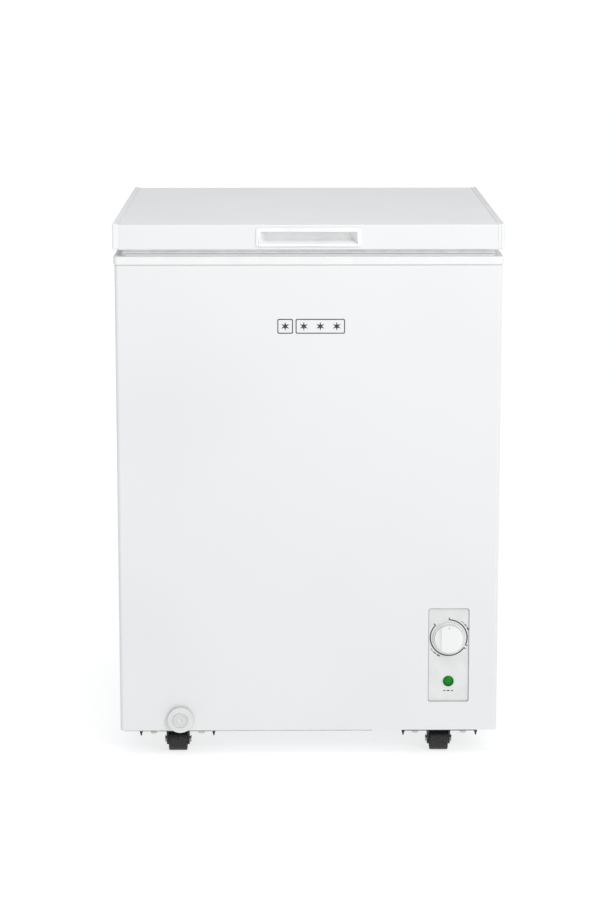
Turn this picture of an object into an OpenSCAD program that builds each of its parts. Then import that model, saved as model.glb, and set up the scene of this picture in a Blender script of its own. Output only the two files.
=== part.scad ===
// Chest freezer with a top-opening foamed lid, a machine bay at the right and four rollers.
// Millimetres. X runs to the right, Y to the back, Z up. The origin is under the middle of the
// whole object, on the floor.

/* [Overall] */
// Width over the lid's end caps
lid_w = 600; // [540:5:760]
// Depth of the lid, front to back
lid_d = 530; // [480:5:640]
// Height from the floor to the top of the lid
overall_h = 850; // [780:5:920]

/* [Cabinet] */
// How far the steel cabinet stands inside the lid's sides and front
cabinet_inset = 2.5; // [2:0.5:5]
// How far the lid stands past the cabinet's back
lid_back_overhang = 6; // [4:1:10]
// Thickness of the painted steel sheet
sheet = 0.8; // [0.6:0.1:1.2]
// Radius of the folded front corners
corner_r = 6; // [4:1:10]
// Width of the flange folded round the back edge of each side
back_flange = 12; // [8:1:16]
// Height of the cabinet's bottom edge above the floor
floor_gap = 42; // [40:1:56]
// Thickness of the side walls, steel to liner
wall = 52; // [46:1:60]
// Thickness of the foamed floor
floor_wall = 50; // [44:1:60]
// Thickness of the liner sheet
liner_t = 1; // [0.6:0.1:1.5]
// Radius of the liner's upright corners
liner_r = 26; // [15:1:35]

/* [Rim] */
// Height of the rim frame's outer skirt
rim_h = 12; // [10:1:18]
// Thickness of the rim frame
rim_t = 2; // [1.6:0.1:2.4]
// Height of the land that the gasket closes on
land_h = 3; // [2:0.5:4]
// Distance of the land from the rim's outer edge
land_inset = 10; // [9:1:16]
// Depth of the rim's inner lip over the liner's edge
rim_lip = 14; // [10:1:20]

/* [Lid] */
// Height of the lid's side
lid_h = 40; // [36:1:56]
// Gap between the rim's top and the lid's bottom edge
lid_gap = 11; // [10:0.5:14]
// Width of the lid's end caps
cap_w = 10; // [8:1:16]
// How far the end caps stand proud of the lid's sheet
cap_proud = 1.3; // [0.8:0.1:2]
// Depth of the moulded plateau under the lid
plateau_h = 14; // [8:1:18]
// Gap between the plateau and the rim's opening
plateau_gap = 14; // [12:1:20]
// Width of the gasket
gasket_w = 20; // [14:1:24]

/* [Grip] */
// Width of the grip's frame
grip_w = 161; // [120:1:220]
// Height of the grip's frame
grip_h = 29; // [26:1:32]
// Height of the grip's middle over the lid's lower edge
grip_up = 19; // [17:0.5:21]
// Width of the grip's finger opening
grip_open_w = 150; // [100:5:200]
// Height of the finger opening
grip_open_h = 17.5; // [14:0.5:20]
// Depth of the finger recess
grip_depth = 18; // [14:1:30]
// How much each end of the recess draws in towards its back
grip_taper = 10; // [0:1:15]

/* [Controls] */
// Width of the control panel
panel_w = 64; // [58:1:80]
// Height of the control panel
panel_h = 152; // [140:1:180]
// Height of the control panel's middle above the cabinet's bottom edge
panel_up = 123.5; // [110:0.5:150]
// Distance of the control panel's middle from the cabinet's right side
panel_in = 77; // [70:1:95]
// Diameter of the knob's skirt
knob_d = 49; // [40:1:54]
// Height of the knob over the panel
knob_h = 12; // [11:1:22]
// Width of the knob's grip bar
knob_bar = 14.5; // [10:0.5:18]
// Diameter of the lamp lens
lamp_d = 17.2; // [12:0.2:20]

/* [Drain] */
// Diameter of the front drain plug
plug_d = 41; // [34:1:46]
// How far the plug stands out of the front
plug_proud = 9.5; // [6:0.5:14]
// Distance of the plug's middle from the cabinet's left side
plug_in = 95; // [60:1:130]
// Inner radius of the drain spout
spout_r = 10; // [8:0.5:11]

/* [Rollers] */
// Diameter of the rollers
roller_d = 36; // [30:1:38]
// Width of the rollers
roller_w = 29; // [20:1:34]
// Distance of the rollers' middles from the cabinet's sides
roller_in = 90; // [70:1:110]
// Width of the roller brackets
bracket_w = 120; // [100:2:130]

/* [Machine bay] */
// Inner width of the machine bay
bay_w = 196; // [186:1:210]
// Height of the machine bay above the cabinet's bottom edge
bay_h = 248; // [240:1:280]

/* [Basket] */
// Width of the wire basket
basket_w = 200; // [140:5:230]
// Height of the wire basket
basket_h = 190; // [120:5:220]
// Thickness of the basket's wires
wire = 3.2; // [2.4:0.2:4]

/* [Hinges] */
// Distance of the hinges from the middle of the lid
hinge_x = 190; // [130:5:220]
// Radius of the hinge pins
pin_r = 4; // [3:0.5:5]
// Distance of the pins behind the lid's back
pin_back = 11; // [11:0.5:14]

/* [Hidden] */
$fn = 64;

// Clearances.
fit = 0.2;       // between parts that slide into each other
run_fit = 0.05;  // round a shaft that turns in a bore
rest_gap = 0.3;  // between the gasket and the land it closes on
eps = 0.01;
screw_hole_r = 2.2;  // round a 4 mm screw

// Heights.
lid_top = overall_h;
lid_bottom = lid_top - lid_h;
skin_top = lid_top - cap_proud;
rim_top = lid_bottom - lid_gap;
rim_bottom = rim_top - rim_h;
land_top = rim_top + land_h;
sheet_top = rim_top - rim_t;
plate_z = lid_bottom + sheet;              // underside of the lid liner's border
plateau_z = lid_bottom - plateau_h;
bay_floor = floor_gap + 2;                 // top of the compressor's base
bay_top = floor_gap + bay_h;

// Depths. The knob or the plug is the foremost point and the hinge knuckles are the rearmost.
panel_recess = 2.5;
knuckle_r = pin_r + 4;
front_reach = max(knob_h - panel_recess, plug_proud) - cabinet_inset;
hinge_reach = pin_back + knuckle_r;
lid_front = front_reach - (front_reach + lid_d + hinge_reach) / 2;
lid_back = lid_front + lid_d;
skin_front = lid_front + cap_proud;
cab_front = lid_front + cabinet_inset;
cab_back = lid_back - lid_back_overhang;
panel_face = cab_front + panel_recess;
foam_front = cab_front + sheet;
foam_back = cab_back - 2 * sheet;
pin_y = lid_back + pin_back;
pin_z = lid_bottom + 2;

// Widths.
cab_w = lid_w - 2 * cabinet_inset;
cab_x = cab_w / 2;
foam_x = cab_x - sheet;
rim_out = rim_t - 0.3;                     // how far the rim's skirt stands out of the cabinet
bay_x = cab_x - sheet - bay_w;
skin_x = lid_w / 2 - cap_w;

// The cold space. The liner's outer faces stand one wall inside the cabinet.
liner_x = cab_x - wall;
liner_front = cab_front + wall;
liner_back = cab_back - wall;
liner_floor = floor_gap + floor_wall;
hump_wall = 40;                            // foam between the machine bay and the cold space
hump_x = bay_x - hump_wall;
hump_z = bay_top + hump_wall;
open_x = liner_x - liner_t - rim_t;
open_front = liner_front + liner_t + rim_t;
open_back = liner_back - liner_t - rim_t;

// Places of the parts on the front.
panel_x = cab_x - panel_in;
panel_z = floor_gap + panel_up;
knob_z = panel_z + panel_h / 2 - 48;
lamp_z = panel_z + panel_h / 2 - 119;
plug_x = plug_in - cab_x;
plug_z = floor_gap + plug_d / 2 - 0.5;

// Rollers. Each bracket's front edge stands bracket_back behind the cabinet's front, and the
// rear brackets are turned round.
bracket_back = 8;
bracket_d = 50;
bracket_t = 3;
roller_r = roller_d / 2;
axle_r = 4;
roller_x = cab_x - roller_in;
roller_y = bracket_back + bracket_d / 2;
corners = [[-1, 0], [1, 0], [-1, 1], [1, 1]];
bolt_x = bracket_w / 2 - 22;
bolt_y = bracket_d / 2 - 9;

// Compressor.
comp_x = bay_x + bay_w / 2;
comp_y = foam_back - 112;
comp_r = 66;
comp_z = bay_floor + 10;
comp_h = 150;
foot_x = 68;
foot_y = 46;
feet_t = 3;

// Coils.
coil_r = 4;
coil_pocket = 2 * coil_r + 1;
coil_turns = 7;
coil_pitch = 48;
coil_low = hump_z + 70;
coil_gap = 30;
skin_coil_r = 2.5;
skin_coil_pocket = 6;
skin_runs = 8;
skin_coil_low = bay_top + 60;
skin_coil_high = rim_bottom - 40;
skin_coil_bend = 22;

// Drain hose.
hose_r = 9;
hose_bend = 16;
funnel_y = liner_front + 62;

// Colours.
white = "white";
off_white = "whitesmoke";
steel = "silver";
black = "#1c1c1e";
copper = "#b87346";
foam_colour = "#e6d9a8";

// A rectangle from corner to corner with round corners.
module rounded_rect(x0, y0, x1, y1, r) {
    translate([x0 + r, y0]) square([x1 - x0 - 2 * r, y1 - y0]);
    translate([x0, y0 + r]) square([x1 - x0, y1 - y0 - 2 * r]);
    for (x = [x0 + r, x1 - r], y = [y0 + r, y1 - r]) translate([x, y]) circle(r);
}

// A block with round upright corners.
module rounded_block(x0, x1, y0, y1, z0, z1, r) {
    translate([0, 0, z0]) linear_extrude(z1 - z0) rounded_rect(x0, y0, x1, y1, r);
}

module block(x0, x1, y0, y1, z0, z1) {
    translate([x0, y0, z0]) cube([x1 - x0, y1 - y0, z1 - z0]);
}

// Places children so that their +Z points out of the front, and their Y up.
module on_front(x, y, z) {
    translate([x, y, z]) rotate([90, 0, 0]) children();
}

// Places children so that their +Z points out of the back.
module on_back(x, y, z) {
    translate([x, y, z]) rotate([-90, 0, 0]) children();
}

// Extrudes a Y-Z outline along X.
module along_x(x, length) {
    translate([x, 0, 0]) rotate([90, 0, 90]) linear_extrude(length) children();
}

module ring(r_in, r_out, h) {
    difference() {
        cylinder(r = r_out, h = h);
        translate([0, 0, -1]) cylinder(r = r_in, h = h + 2);
    }
}

// A round bar from point to point.
module rod(a, b, r) {
    d = b - a;
    translate(a)
        rotate([0, acos(d[2] / norm(d)), atan2(d[1], d[0])])
            cylinder(r = r, h = norm(d));
}

// A tube swept along points: the outline is a polygon of the given number of sides.
module swept(points, r, sides = 8) {
    n = len(points);
    function unit(v) = v / norm(v);
    function ahead(i) = unit(points[min(i + 1, n - 1)] - points[max(i - 1, 0)]);
    function side(i) = unit(cross(ahead(i), abs(ahead(i)[2]) > 0.9 ? [0, 1, 0] : [0, 0, 1]));
    rings = [for (i = [0:n - 1], k = [0:sides - 1])
        let (a = 360 * k / sides)
            points[i] + r * (cos(a) * side(i) + sin(a) * cross(side(i), ahead(i)))];
    walls = [for (i = [0:n - 2], k = [0:sides - 1])
        let (a = i * sides + k, b = i * sides + (k + 1) % sides)
            each [[a, b, b + sides], [a, b + sides, a + sides]]];
    first = [for (k = [sides - 1:-1:0]) k];
    last = [for (k = [0:sides - 1]) (n - 1) * sides + k];
    polyhedron(rings, concat(walls, [first, last]), convexity = 10);
}

// The cabinet's outline, with its two front corners round, moved in by some distance.
module cabinet_outline(inset, back) {
    x = cab_x - inset;
    y = cab_front + inset;
    r = corner_r - inset;
    translate([-x, y + r]) square([2 * x, back - y - r]);
    translate([-x + r, y]) square([2 * x - 2 * r, back - y]);
    for (s = [-1, 1]) translate([s * (x - r), y + r]) circle(r);
}

// The front and both sides, bent from one sheet, with a flange round each back edge.
module cabinet_wrap() color(white) difference() {
    translate([0, 0, floor_gap]) linear_extrude(sheet_top - floor_gap) difference() {
        cabinet_outline(0, cab_back);
        cabinet_outline(sheet, cab_back - sheet);
        translate([back_flange - cab_x, cab_back - 5]) square([cab_w - 2 * back_flange, 10]);
    }
    on_front(panel_x, cab_front + 5, panel_z) linear_extrude(10)
        rounded_rect(-panel_w / 2, -panel_h / 2, panel_w / 2, panel_h / 2, 3.5);
    on_front(plug_x, cab_front + 5, plug_z) cylinder(r = spout_r + 3 + fit, h = 10);
}

// Two upright stiffening beads pressed into the back panel.
module back_panel() color(white) {
    bead_r = 6;
    y = foam_back;
    difference() {
        union() {
            translate([0, y + sheet, floor_gap]) rotate([90, 0, 0]) linear_extrude(sheet)
                translate([-foam_x + fit, 0]) square([2 * (foam_x - fit), sheet_top - floor_gap]);
            for (x = [-0.5, 0.1]) translate([x * cab_x, y + sheet, bay_top + 60])
                linear_extrude(rim_bottom - bay_top - 190)
                    intersection() {
                        circle(bead_r);
                        translate([-bead_r, 0]) square([2 * bead_r, bead_r]);
                    }
        }
        block(bay_x + 14, cover_x1 - 10, y - 5, y + 5, floor_gap + 14, bay_top - 14);
        for (p = bay_screw_places) on_back(p[0], y - 5, p[1]) cylinder(r = screw_hole_r, h = 10);
        for (s = [-1, 1], p = bracket_screw_places)
            on_back(s * hinge_x + p[0], y - 5, p[1]) cylinder(r = screw_hole_r, h = 10);
    }
}

// The pan under the foam, left of the machine bay.
module base_panel() color(steel) difference() {
    union() {
        block(-foam_x, bay_x, foam_front + corner_r, foam_back, floor_gap, floor_gap + sheet);
        block(corner_r - cab_x, bay_x, foam_front, foam_back, floor_gap, floor_gap + sheet);
    }
    for (c = corners) if (c[0] < 0)
        for (p = bolt_places) bracket_at(c) translate([p[0], p[1], -20]) cylinder(r = 3.2, h = 40);
}

// The cold space and what it needs cut out of the foam. grow is the distance outside the liner.
module cold_space(grow, top) {
    z = liner_floor - grow;
    rounded_block(-liner_x - grow, hump_x + grow, liner_front - grow, liner_back + grow,
        z, top, liner_r + grow);
    rounded_block(-liner_x - grow, liner_x + grow, liner_front - grow, liner_back + grow,
        hump_z - grow, top, liner_r + grow);
}

module insulation_foam() color(foam_colour) difference() {
    translate([0, 0, floor_gap + sheet]) linear_extrude(sheet_top - floor_gap - sheet)
        cabinet_outline(sheet, foam_back);
    cold_space(0, sheet_top + 5);
    block(bay_x, cab_x, cab_front - 5, cab_back + 5, floor_gap - 5, bay_top);
    // A groove for each turn of the evaporator, and a slot at the back for the steps between.
    for (i = [0:coil_turns - 1])
        rounded_block(-liner_x - coil_pocket, liner_x + coil_pocket, liner_front - coil_pocket,
            liner_back + coil_pocket, coil_low + i * coil_pitch - coil_r - 0.5,
            coil_low + i * coil_pitch + coil_r + 0.5, liner_r + coil_pocket);
    block(-coil_gap - 2, coil_gap + 2, liner_back - 1, liner_back + coil_pocket, coil_low - coil_r,
        coil_low + (coil_turns - 1) * coil_pitch + coil_r);
    // Room for the condenser against the sides.
    for (s = [-1, 1])
        translate([s > 0 ? foam_x - skin_coil_pocket : -foam_x - 5, 0, 0])
            block(0, skin_coil_pocket + 5, -skin_coil_span / 2 - 10, skin_coil_span / 2 + 10,
                skin_coil_low - 10, skin_coil_high + 10);
    hose_route(hose_r + fit, 0);
    on_front(plug_x, cab_front + 30, plug_z) cylinder(r = spout_r + 3 + fit, h = 40);
    on_front(plug_x, foam_front + 3, plug_z) cylinder(r = spout_r + 8, h = 10);
    translate([plug_x, funnel_y, liner_floor - 12]) cylinder(r = hose_r + 3, h = 20);
    for (c = corners) if (c[0] < 0) bracket_at(c)
        for (p = bolt_places) translate([p[0], p[1], -5]) cylinder(r = 6, h = 17);
    for (s = [-1, 1], p = bracket_screw_places)
        on_back(s * hinge_x + p[0], foam_back - hinge_screw_l, p[1])
            cylinder(r = screw_hole_r, h = hinge_screw_l + 5);
}

// The tub of the cold space, with its step over the machine bay.
module inner_liner() color(off_white) difference() {
    cold_space(0, sheet_top);
    cold_space(-liner_t, sheet_top + 5);
    translate([plug_x, funnel_y, liner_floor - 5]) cylinder(r = hose_r + 0.6, h = 20);
}

// The white frame that caps the wall all round the opening.
module rim_frame() color(white) difference() {
    x = cab_x + rim_out;
    front = cab_front - rim_out;
    back = cab_back + rim_out;
    edge_r = 2;
    r = corner_r + rim_out;
    union() {
        rounded_block(-x, x, front, back, rim_bottom, rim_top - edge_r, r);
        // The skirt's top edge is rounded in three small steps.
        for (a = [30, 60, 90])
            rounded_block(-x + edge_r * (1 - cos(a)), x - edge_r * (1 - cos(a)),
                front + edge_r * (1 - cos(a)), back - edge_r * (1 - cos(a)),
                rim_bottom + 1, rim_top - edge_r * (1 - sin(a)), r - edge_r * (1 - cos(a)));
        rounded_block(-x + land_inset, x - land_inset, front + land_inset, back - land_inset,
            rim_bottom + 1, land_top, 12);
        // The lip that goes down over the liner's edge.
        rounded_block(-liner_x + liner_t, liner_x - liner_t, liner_front + liner_t,
            liner_back - liner_t, rim_top - rim_lip, rim_top, liner_r - liner_t);
    }
    rounded_block(-open_x, open_x, open_front, open_back, rim_bottom - 20, land_top + 5,
        liner_r - liner_t - rim_t);
    // The wall's top edge stands in the frame.
    difference() {
        translate([0, 0, rim_bottom - 5]) linear_extrude(sheet_top - rim_bottom + 5)
            cabinet_outline(0, cab_back);
        rounded_block(-liner_x + liner_t, liner_x - liner_t, liner_front + liner_t,
            liner_back - liner_t, rim_bottom - 10, rim_top, liner_r - liner_t);
    }
}

// The galvanised sheet between the foam and the machine bay.
module machine_bay_liner() color(steel) {
    t = 1;
    y0 = foam_front + fit;
    along = foam_back - foam_front - 2 * fit;
    difference() {
        union() {
            block(bay_x, bay_x + t, y0, y0 + along, bay_floor, bay_top);
            translate([0, 0, bay_top - t]) linear_extrude(t) intersection() {
                cabinet_outline(sheet + fit, foam_back - fit);
                translate([bay_x, y0]) square([bay_w, along]);
            }
        }
        translate([bay_x - 5, suction_y, suction_z]) rotate([0, 90, 0]) cylinder(r = 5, h = 10);
        translate([discharge_x, discharge_y, bay_top - 5]) cylinder(r = 4, h = 10);
    }
}

// One turn of the evaporator: straight runs and round corners, open at the back.
module evaporator_turn(z) {
    off = coil_r + 0.5;
    x = liner_x + off;
    y0 = liner_front - off;
    y1 = liner_back + off;
    r = liner_r + off;
    rod([-coil_gap, y1, z], [-x + r, y1, z], coil_r);
    rod([coil_gap, y1, z], [x - r, y1, z], coil_r);
    rod([-x + r, y0, z], [x - r, y0, z], coil_r);
    for (s = [-1, 1]) rod([s * x, y0 + r, z], [s * x, y1 - r, z], coil_r);
    for (c = [[x - r, y1 - r, 0], [-x + r, y1 - r, 90], [-x + r, y0 + r, 180], [x - r, y0 + r, 270]])
        translate([c[0], c[1], z]) rotate([0, 0, c[2]])
            rotate_extrude(angle = 90) translate([r, 0]) circle(coil_r, $fn = 32);
    // The step down to the next turn.
    if (z > coil_low + 1)
        rod([coil_gap - 2, y1, z], [2 - coil_gap, y1, z - coil_pitch], coil_r * 0.9);
}

module evaporator_coil() color(steel)
    for (i = [0:coil_turns - 1]) evaporator_turn(coil_low + i * coil_pitch);

skin_coil_span = (skin_runs - 1) * 2 * skin_coil_bend;

// The condenser: a serpentine of upright runs taped inside each side of the cabinet.
module condenser_coil() color(copper) for (s = [-1, 1])
    translate([s * (foam_x - skin_coil_r - 0.2), -skin_coil_span / 2, 0]) {
        for (i = [0:skin_runs - 1]) {
            y = i * 2 * skin_coil_bend;
            rod([0, y, skin_coil_low + skin_coil_bend], [0, y, skin_coil_high - skin_coil_bend],
                skin_coil_r);
            if (i < skin_runs - 1)
                translate([0, y + skin_coil_bend, i % 2 == 0 ? skin_coil_high - skin_coil_bend
                        : skin_coil_low + skin_coil_bend])
                    rotate([i % 2 == 0 ? 90 : -90, 0, 90])
                        rotate_extrude(angle = 180) translate([skin_coil_bend, 0])
                            circle(skin_coil_r, $fn = 24);
        }
    }

// The compressor's sealed shell: a cup and a domed cap welded at a seam.
module compressor() color(black) translate([comp_x, comp_y, comp_z]) {
    rotate_extrude() intersection() {
        union() {
            rounded_rect(-comp_r, 0, comp_r, comp_h * 0.55, 22);
            rounded_rect(-comp_r + 2, 4, comp_r - 2, comp_h, 30);
            translate([0, comp_h * 0.45]) square([comp_r + 4, 4]);
        }
        square([comp_r + 10, comp_h]);
    }
}

module compressor_feet() color(black) difference() {
    translate([comp_x, comp_y, comp_z - feet_t]) linear_extrude(feet_t)
        rounded_rect(-foot_x - 16, -foot_y - 16, foot_x + 16, foot_y + 16, 14);
    for (x = [-foot_x, foot_x], y = [-foot_y, foot_y])
        translate([comp_x + x, comp_y + y, comp_z - feet_t - 1]) cylinder(r = 7, h = feet_t + 2);
}

// Rubber mounts that hold the feet between two collars.
module compressor_grommets() color("#2a2a2c")
    for (x = [-foot_x, foot_x], y = [-foot_y, foot_y])
        translate([comp_x + x, comp_y + y, bay_floor]) rotate_extrude()
            difference() {
                union() {
                    translate([3.5, 0]) square([8.5, comp_z - feet_t - bay_floor]);
                    translate([3.5, 0]) square([3.4, comp_z - bay_floor]);
                    translate([3.5, comp_z - bay_floor]) square([7.5, 4]);
                }
            }

module compressor_bolts() color(steel)
    for (x = [-foot_x, foot_x], y = [-foot_y, foot_y])
        translate([comp_x + x, comp_y + y, floor_gap]) {
            translate([0, 0, 2.2]) cylinder(r = 3, h = comp_z - floor_gap + 6);
            translate([0, 0, comp_z - floor_gap + 4]) cylinder(r = 6, h = 4.5, $fn = 6);
        }

// The tray that closes the machine bay's floor and carries the compressor.
module compressor_base() color(steel) difference() {
    union() {
        block(bay_x + fit, foam_x - fit, foam_front + 6, foam_back - fit, floor_gap, bay_floor);
        for (y = [foam_front + 6, foam_back - fit - 2])
            block(bay_x + 4, foam_x - corner_r, y, y + 2, floor_gap, floor_gap + 16);
    }
    for (c = corners) if (c[0] > 0)
        for (p = bolt_places) bracket_at(c) translate([p[0], p[1], -20]) cylinder(r = 3.2, h = 40);
    for (i = [0:5])
        translate([comp_x, foam_front + 120 + i * 16, floor_gap - 1]) linear_extrude(5)
            rounded_rect(-60, -3, 60, 3, 2.9);
    for (p = bay_screw_places) on_back(p[0], foam_back - 10, p[1]) cylinder(r = screw_hole_r, h = 15);
}

// The plastic cover over the starting relay, on the compressor's front side.
module relay_cover() color(black) difference() {
    rounded_block(comp_x - 32, comp_x + 32, comp_y - comp_r - 34, comp_y - comp_r + 20,
        comp_z + 20, comp_z + 96, 6);
    rounded_block(comp_x - 30, comp_x + 30, comp_y - comp_r - 32, comp_y - comp_r + 30,
        comp_z + 22, comp_z + 94, 4);
    translate([comp_x, comp_y, comp_z - 5]) cylinder(r = comp_r + 4.2, h = comp_h + 10);
}

suction_y = comp_y;
suction_z = comp_z + comp_h + 40;

module suction_pipe() color(copper) {
    x = comp_x + 34;
    bend = 18;
    rod([x, comp_y, comp_z + comp_h], [x, comp_y, suction_z - bend], 4);
    translate([x - bend, comp_y, suction_z - bend]) rotate([90, 0, 0])
        rotate_extrude(angle = 90) translate([bend, 0]) circle(4, $fn = 32);
    rod([x - bend, comp_y, suction_z], [bay_x, comp_y, suction_z], 4);
}

// The discharge tube rises in front of the suction pipe.
discharge_x = comp_x - 20;
discharge_y = comp_y - 26;

module discharge_pipe() color(copper)
    rod([discharge_x, discharge_y, comp_z + comp_h], [discharge_x, discharge_y, bay_top], 3);

drier_x = bay_x + 24;
drier_y = -20;
drier_z = bay_floor + 130;

// The filter-drier lies level beside the bay's wall.
module filter_drier() color(copper) translate([drier_x, drier_y, drier_z]) rotate([90, 0, 0]) {
    translate([0, 0, -38]) cylinder(r = 9, h = 76);
    translate([0, 0, 38]) cylinder(r1 = 9, r2 = 3, h = 10);
    translate([0, 0, -48]) cylinder(r1 = 3, r2 = 9, h = 10);
}

// The capillary leaves the drier in a loose coil and rises to the bay's top.
module capillary_tube() color(copper) {
    r = 18;
    turns = 3;
    start = drier_y - 52;
    swept(concat(
        [[drier_x, drier_y - 48, drier_z], [drier_x, start, drier_z]],
        [for (a = [15:30:turns * 360])
            [drier_x + r * sin(a), start - a / 30, drier_z + r - r * cos(a)]],
        [[drier_x, start - 42, drier_z + 6], [drier_x, start - 46, drier_z + 40],
            [drier_x, start - 46, bay_top - 3]]), 1.2, 6);
}

module terminal_box() color(off_white)
    rounded_block(bay_x + 1, bay_x + 37, foam_back - 70, foam_back - 12,
        bay_floor + 120, bay_floor + 175, 4);

cover_x0 = bay_x + 3;
cover_x1 = cab_x - back_flange - 1;
cover_z0 = floor_gap + 4;
cover_z1 = bay_top - 4;
bay_screw_places = [for (x = [cover_x0 + 5.5, cover_x1 - 5], z = [cover_z0 + 5, cover_z1 - 6])
    [x, z]];
gland_x = bay_x + 36;
gland_z = floor_gap + 40;
gland_r = 4;

// The louvred sheet over the machine bay's back.
module bay_cover() color(white) difference() {
    translate([0, foam_back + sheet + 1.2, 0]) rotate([90, 0, 0]) linear_extrude(1.2) difference() {
        rounded_rect(cover_x0, cover_z0, cover_x1, cover_z1, 4);
        for (row = [0:9], x = [cover_x0 + 18, (cover_x0 + cover_x1) / 2 + 5])
            translate([x, cover_z0 + 62 + row * 16])
                rounded_rect(0, 0, (cover_x1 - cover_x0) / 2 - 24, 6, 2.9);
        translate([gland_x, gland_z]) circle(gland_r + 4);
    }
    for (p = bay_screw_places) on_back(p[0], foam_back, p[1]) cylinder(r = screw_hole_r, h = 10);
}

module pan_screw(length) {
    difference() {
        intersection() {
            translate([0, 0, -4.4]) sphere(r = 6.8, $fn = 48);
            cylinder(r = 4.2, h = 10);
        }
        translate([-2.6, -0.5, 1.4]) cube([5.2, 1, 5]);
        translate([-0.5, -2.6, 1.4]) cube([1, 5.2, 5]);
    }
    translate([0, 0, -length]) cylinder(r = 2, h = length);
}

module bay_cover_screws() color(steel)
    for (p = bay_screw_places) on_back(p[0], foam_back + sheet + 1.2, p[1]) pan_screw(8);

// The bush that a mains cord would leave through.
module cord_gland() color(black) on_back(gland_x, foam_back + sheet + 1.2, gland_z) {
    translate([0, 0, -6]) ring(gland_r, gland_r + 4 - fit, 6);
    translate([0, 0, 0]) ring(gland_r, gland_r + 7, 3);
    translate([0, 0, -6 - 2]) ring(gland_r, gland_r + 6, 2);
}

// The moulded control panel, let into a window in the front.
module control_panel() color(white) difference() {
    union() {
        on_front(panel_x, panel_face + 14, panel_z) linear_extrude(14)
            rounded_rect(-panel_w / 2 + fit, -panel_h / 2 + fit, panel_w / 2 - fit,
                panel_h / 2 - fit, 3.2);
        on_front(panel_x, panel_face + 2, panel_z) linear_extrude(panel_recess + 2 - sheet)
            rounded_rect(-panel_w / 2 - 5, -panel_h / 2 - 5, panel_w / 2 + 5, panel_h / 2 + 5, 5);
    }
    // Nothing stands in front of the panel's face.
    on_front(panel_x, panel_face, panel_z) linear_extrude(5)
        rounded_rect(-panel_w / 2 + fit, -panel_h / 2 + fit, panel_w / 2 - fit,
            panel_h / 2 - fit, 3.2);
    on_front(panel_x, panel_face + 20, panel_z) linear_extrude(20 - 2.4)
        rounded_rect(-panel_w / 2 + 2.4, -panel_h / 2 + 2.4, panel_w / 2 - 2.4,
            panel_h / 2 - 2.4, 2);
    on_front(panel_x, panel_face + 5, knob_z) cylinder(r = 4.2, h = 10);
    on_front(panel_x, panel_face + 5, lamp_z) cylinder(r = lamp_d / 2 - 1, h = 10);
}

// The thermostat behind the panel, with the bush that the spindle turns in.
module thermostat() color(steel) on_front(panel_x, panel_face + 2.4, knob_z) difference() {
    union() {
        translate([0, 0, -26]) linear_extrude(26) rounded_rect(-24, -20, 24, 20, 3);
        cylinder(r = 4, h = 2.2);
    }
    translate([0, 0, -18]) cylinder(r = 3 + run_fit, h = 30);
}

module lamp_lens() color("green") on_front(panel_x, panel_face, lamp_z) {
    ball = 14;
    rise = 3.4;
    lens_r = lamp_d / 2 - 0.4;
    intersection() {
        translate([0, 0, rise - ball]) sphere(r = ball, $fn = 96);
        cylinder(r = lens_r, h = 20);
    }
    translate([0, 0, 0]) cylinder(r = lamp_d / 2, h = 1);
    translate([0, 0, -2.4]) cylinder(r = lamp_d / 2 - 1 - fit, h = 2.4);
}

module lamp_holder() color(off_white) on_front(panel_x, panel_face + 2.4, lamp_z) {
    translate([0, 0, -3]) cylinder(r = lamp_d / 2 + 2, h = 3);
    translate([0, 0, -22]) cylinder(r = lamp_d / 2 - 1.4, h = 19.5);
    for (x = [-3, 3]) translate([x - 0.4, -1.5, -30]) cube([0.8, 3, 9]);
}

// The knob: a skirt, a crown and a grip bar left between two scooped flanks.
module knob() color(white) on_front(panel_x, panel_face - 0.4, knob_z) difference() {
    top = knob_h - 0.4;
    crown_r = knob_d / 2 - 2.4;
    scoop_z = top - 4.5;
    scoop_r = 15;
    union() {
        cylinder(r = knob_d / 2, h = 4);
        cylinder(r = crown_r, h = top - 1);
        translate([0, 0, top - 1]) cylinder(r = crown_r - 1, h = 1);
    }
    // Each scoop is a barrel whose near side runs along the bar.
    for (s = [-1, 1]) translate([s * (knob_bar / 2 + scoop_r), 0, scoop_z + scoop_r])
        rotate([90, 0, 0]) translate([0, 0, -30]) cylinder(r = scoop_r, h = 60, $fn = 96);
    for (s = [0, 1]) mirror([s, 0, 0]) translate([knob_bar / 2 + scoop_r, -30, scoop_z])
        cube([30, 60, 30]);
    translate([0, 0, -1]) cylinder(r = 3, h = 9);
}

module knob_spindle() color(steel) on_front(panel_x, panel_face - 0.4, knob_z)
    translate([0, 0, -19]) cylinder(r = 3 - eps, h = 26.5);

// The spout behind the drain plug, clipped through the front sheet.
module drain_spout() color(white) on_front(plug_x, cab_front, plug_z) {
    ring(spout_r, spout_r + 6, 1.6);
    translate([0, 0, -18]) ring(spout_r, spout_r + 3, 18);
    translate([0, 0, -sheet - 1.6]) ring(spout_r, spout_r + 5, 1.6);
    // The nipple that the hose is pushed on to.
    translate([0, 0, -18]) ring(hose_r - 4, spout_r + 3, 2);
    translate([0, 0, -34]) ring(hose_r - 4, hose_r - 2.1, 17);
}

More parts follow.
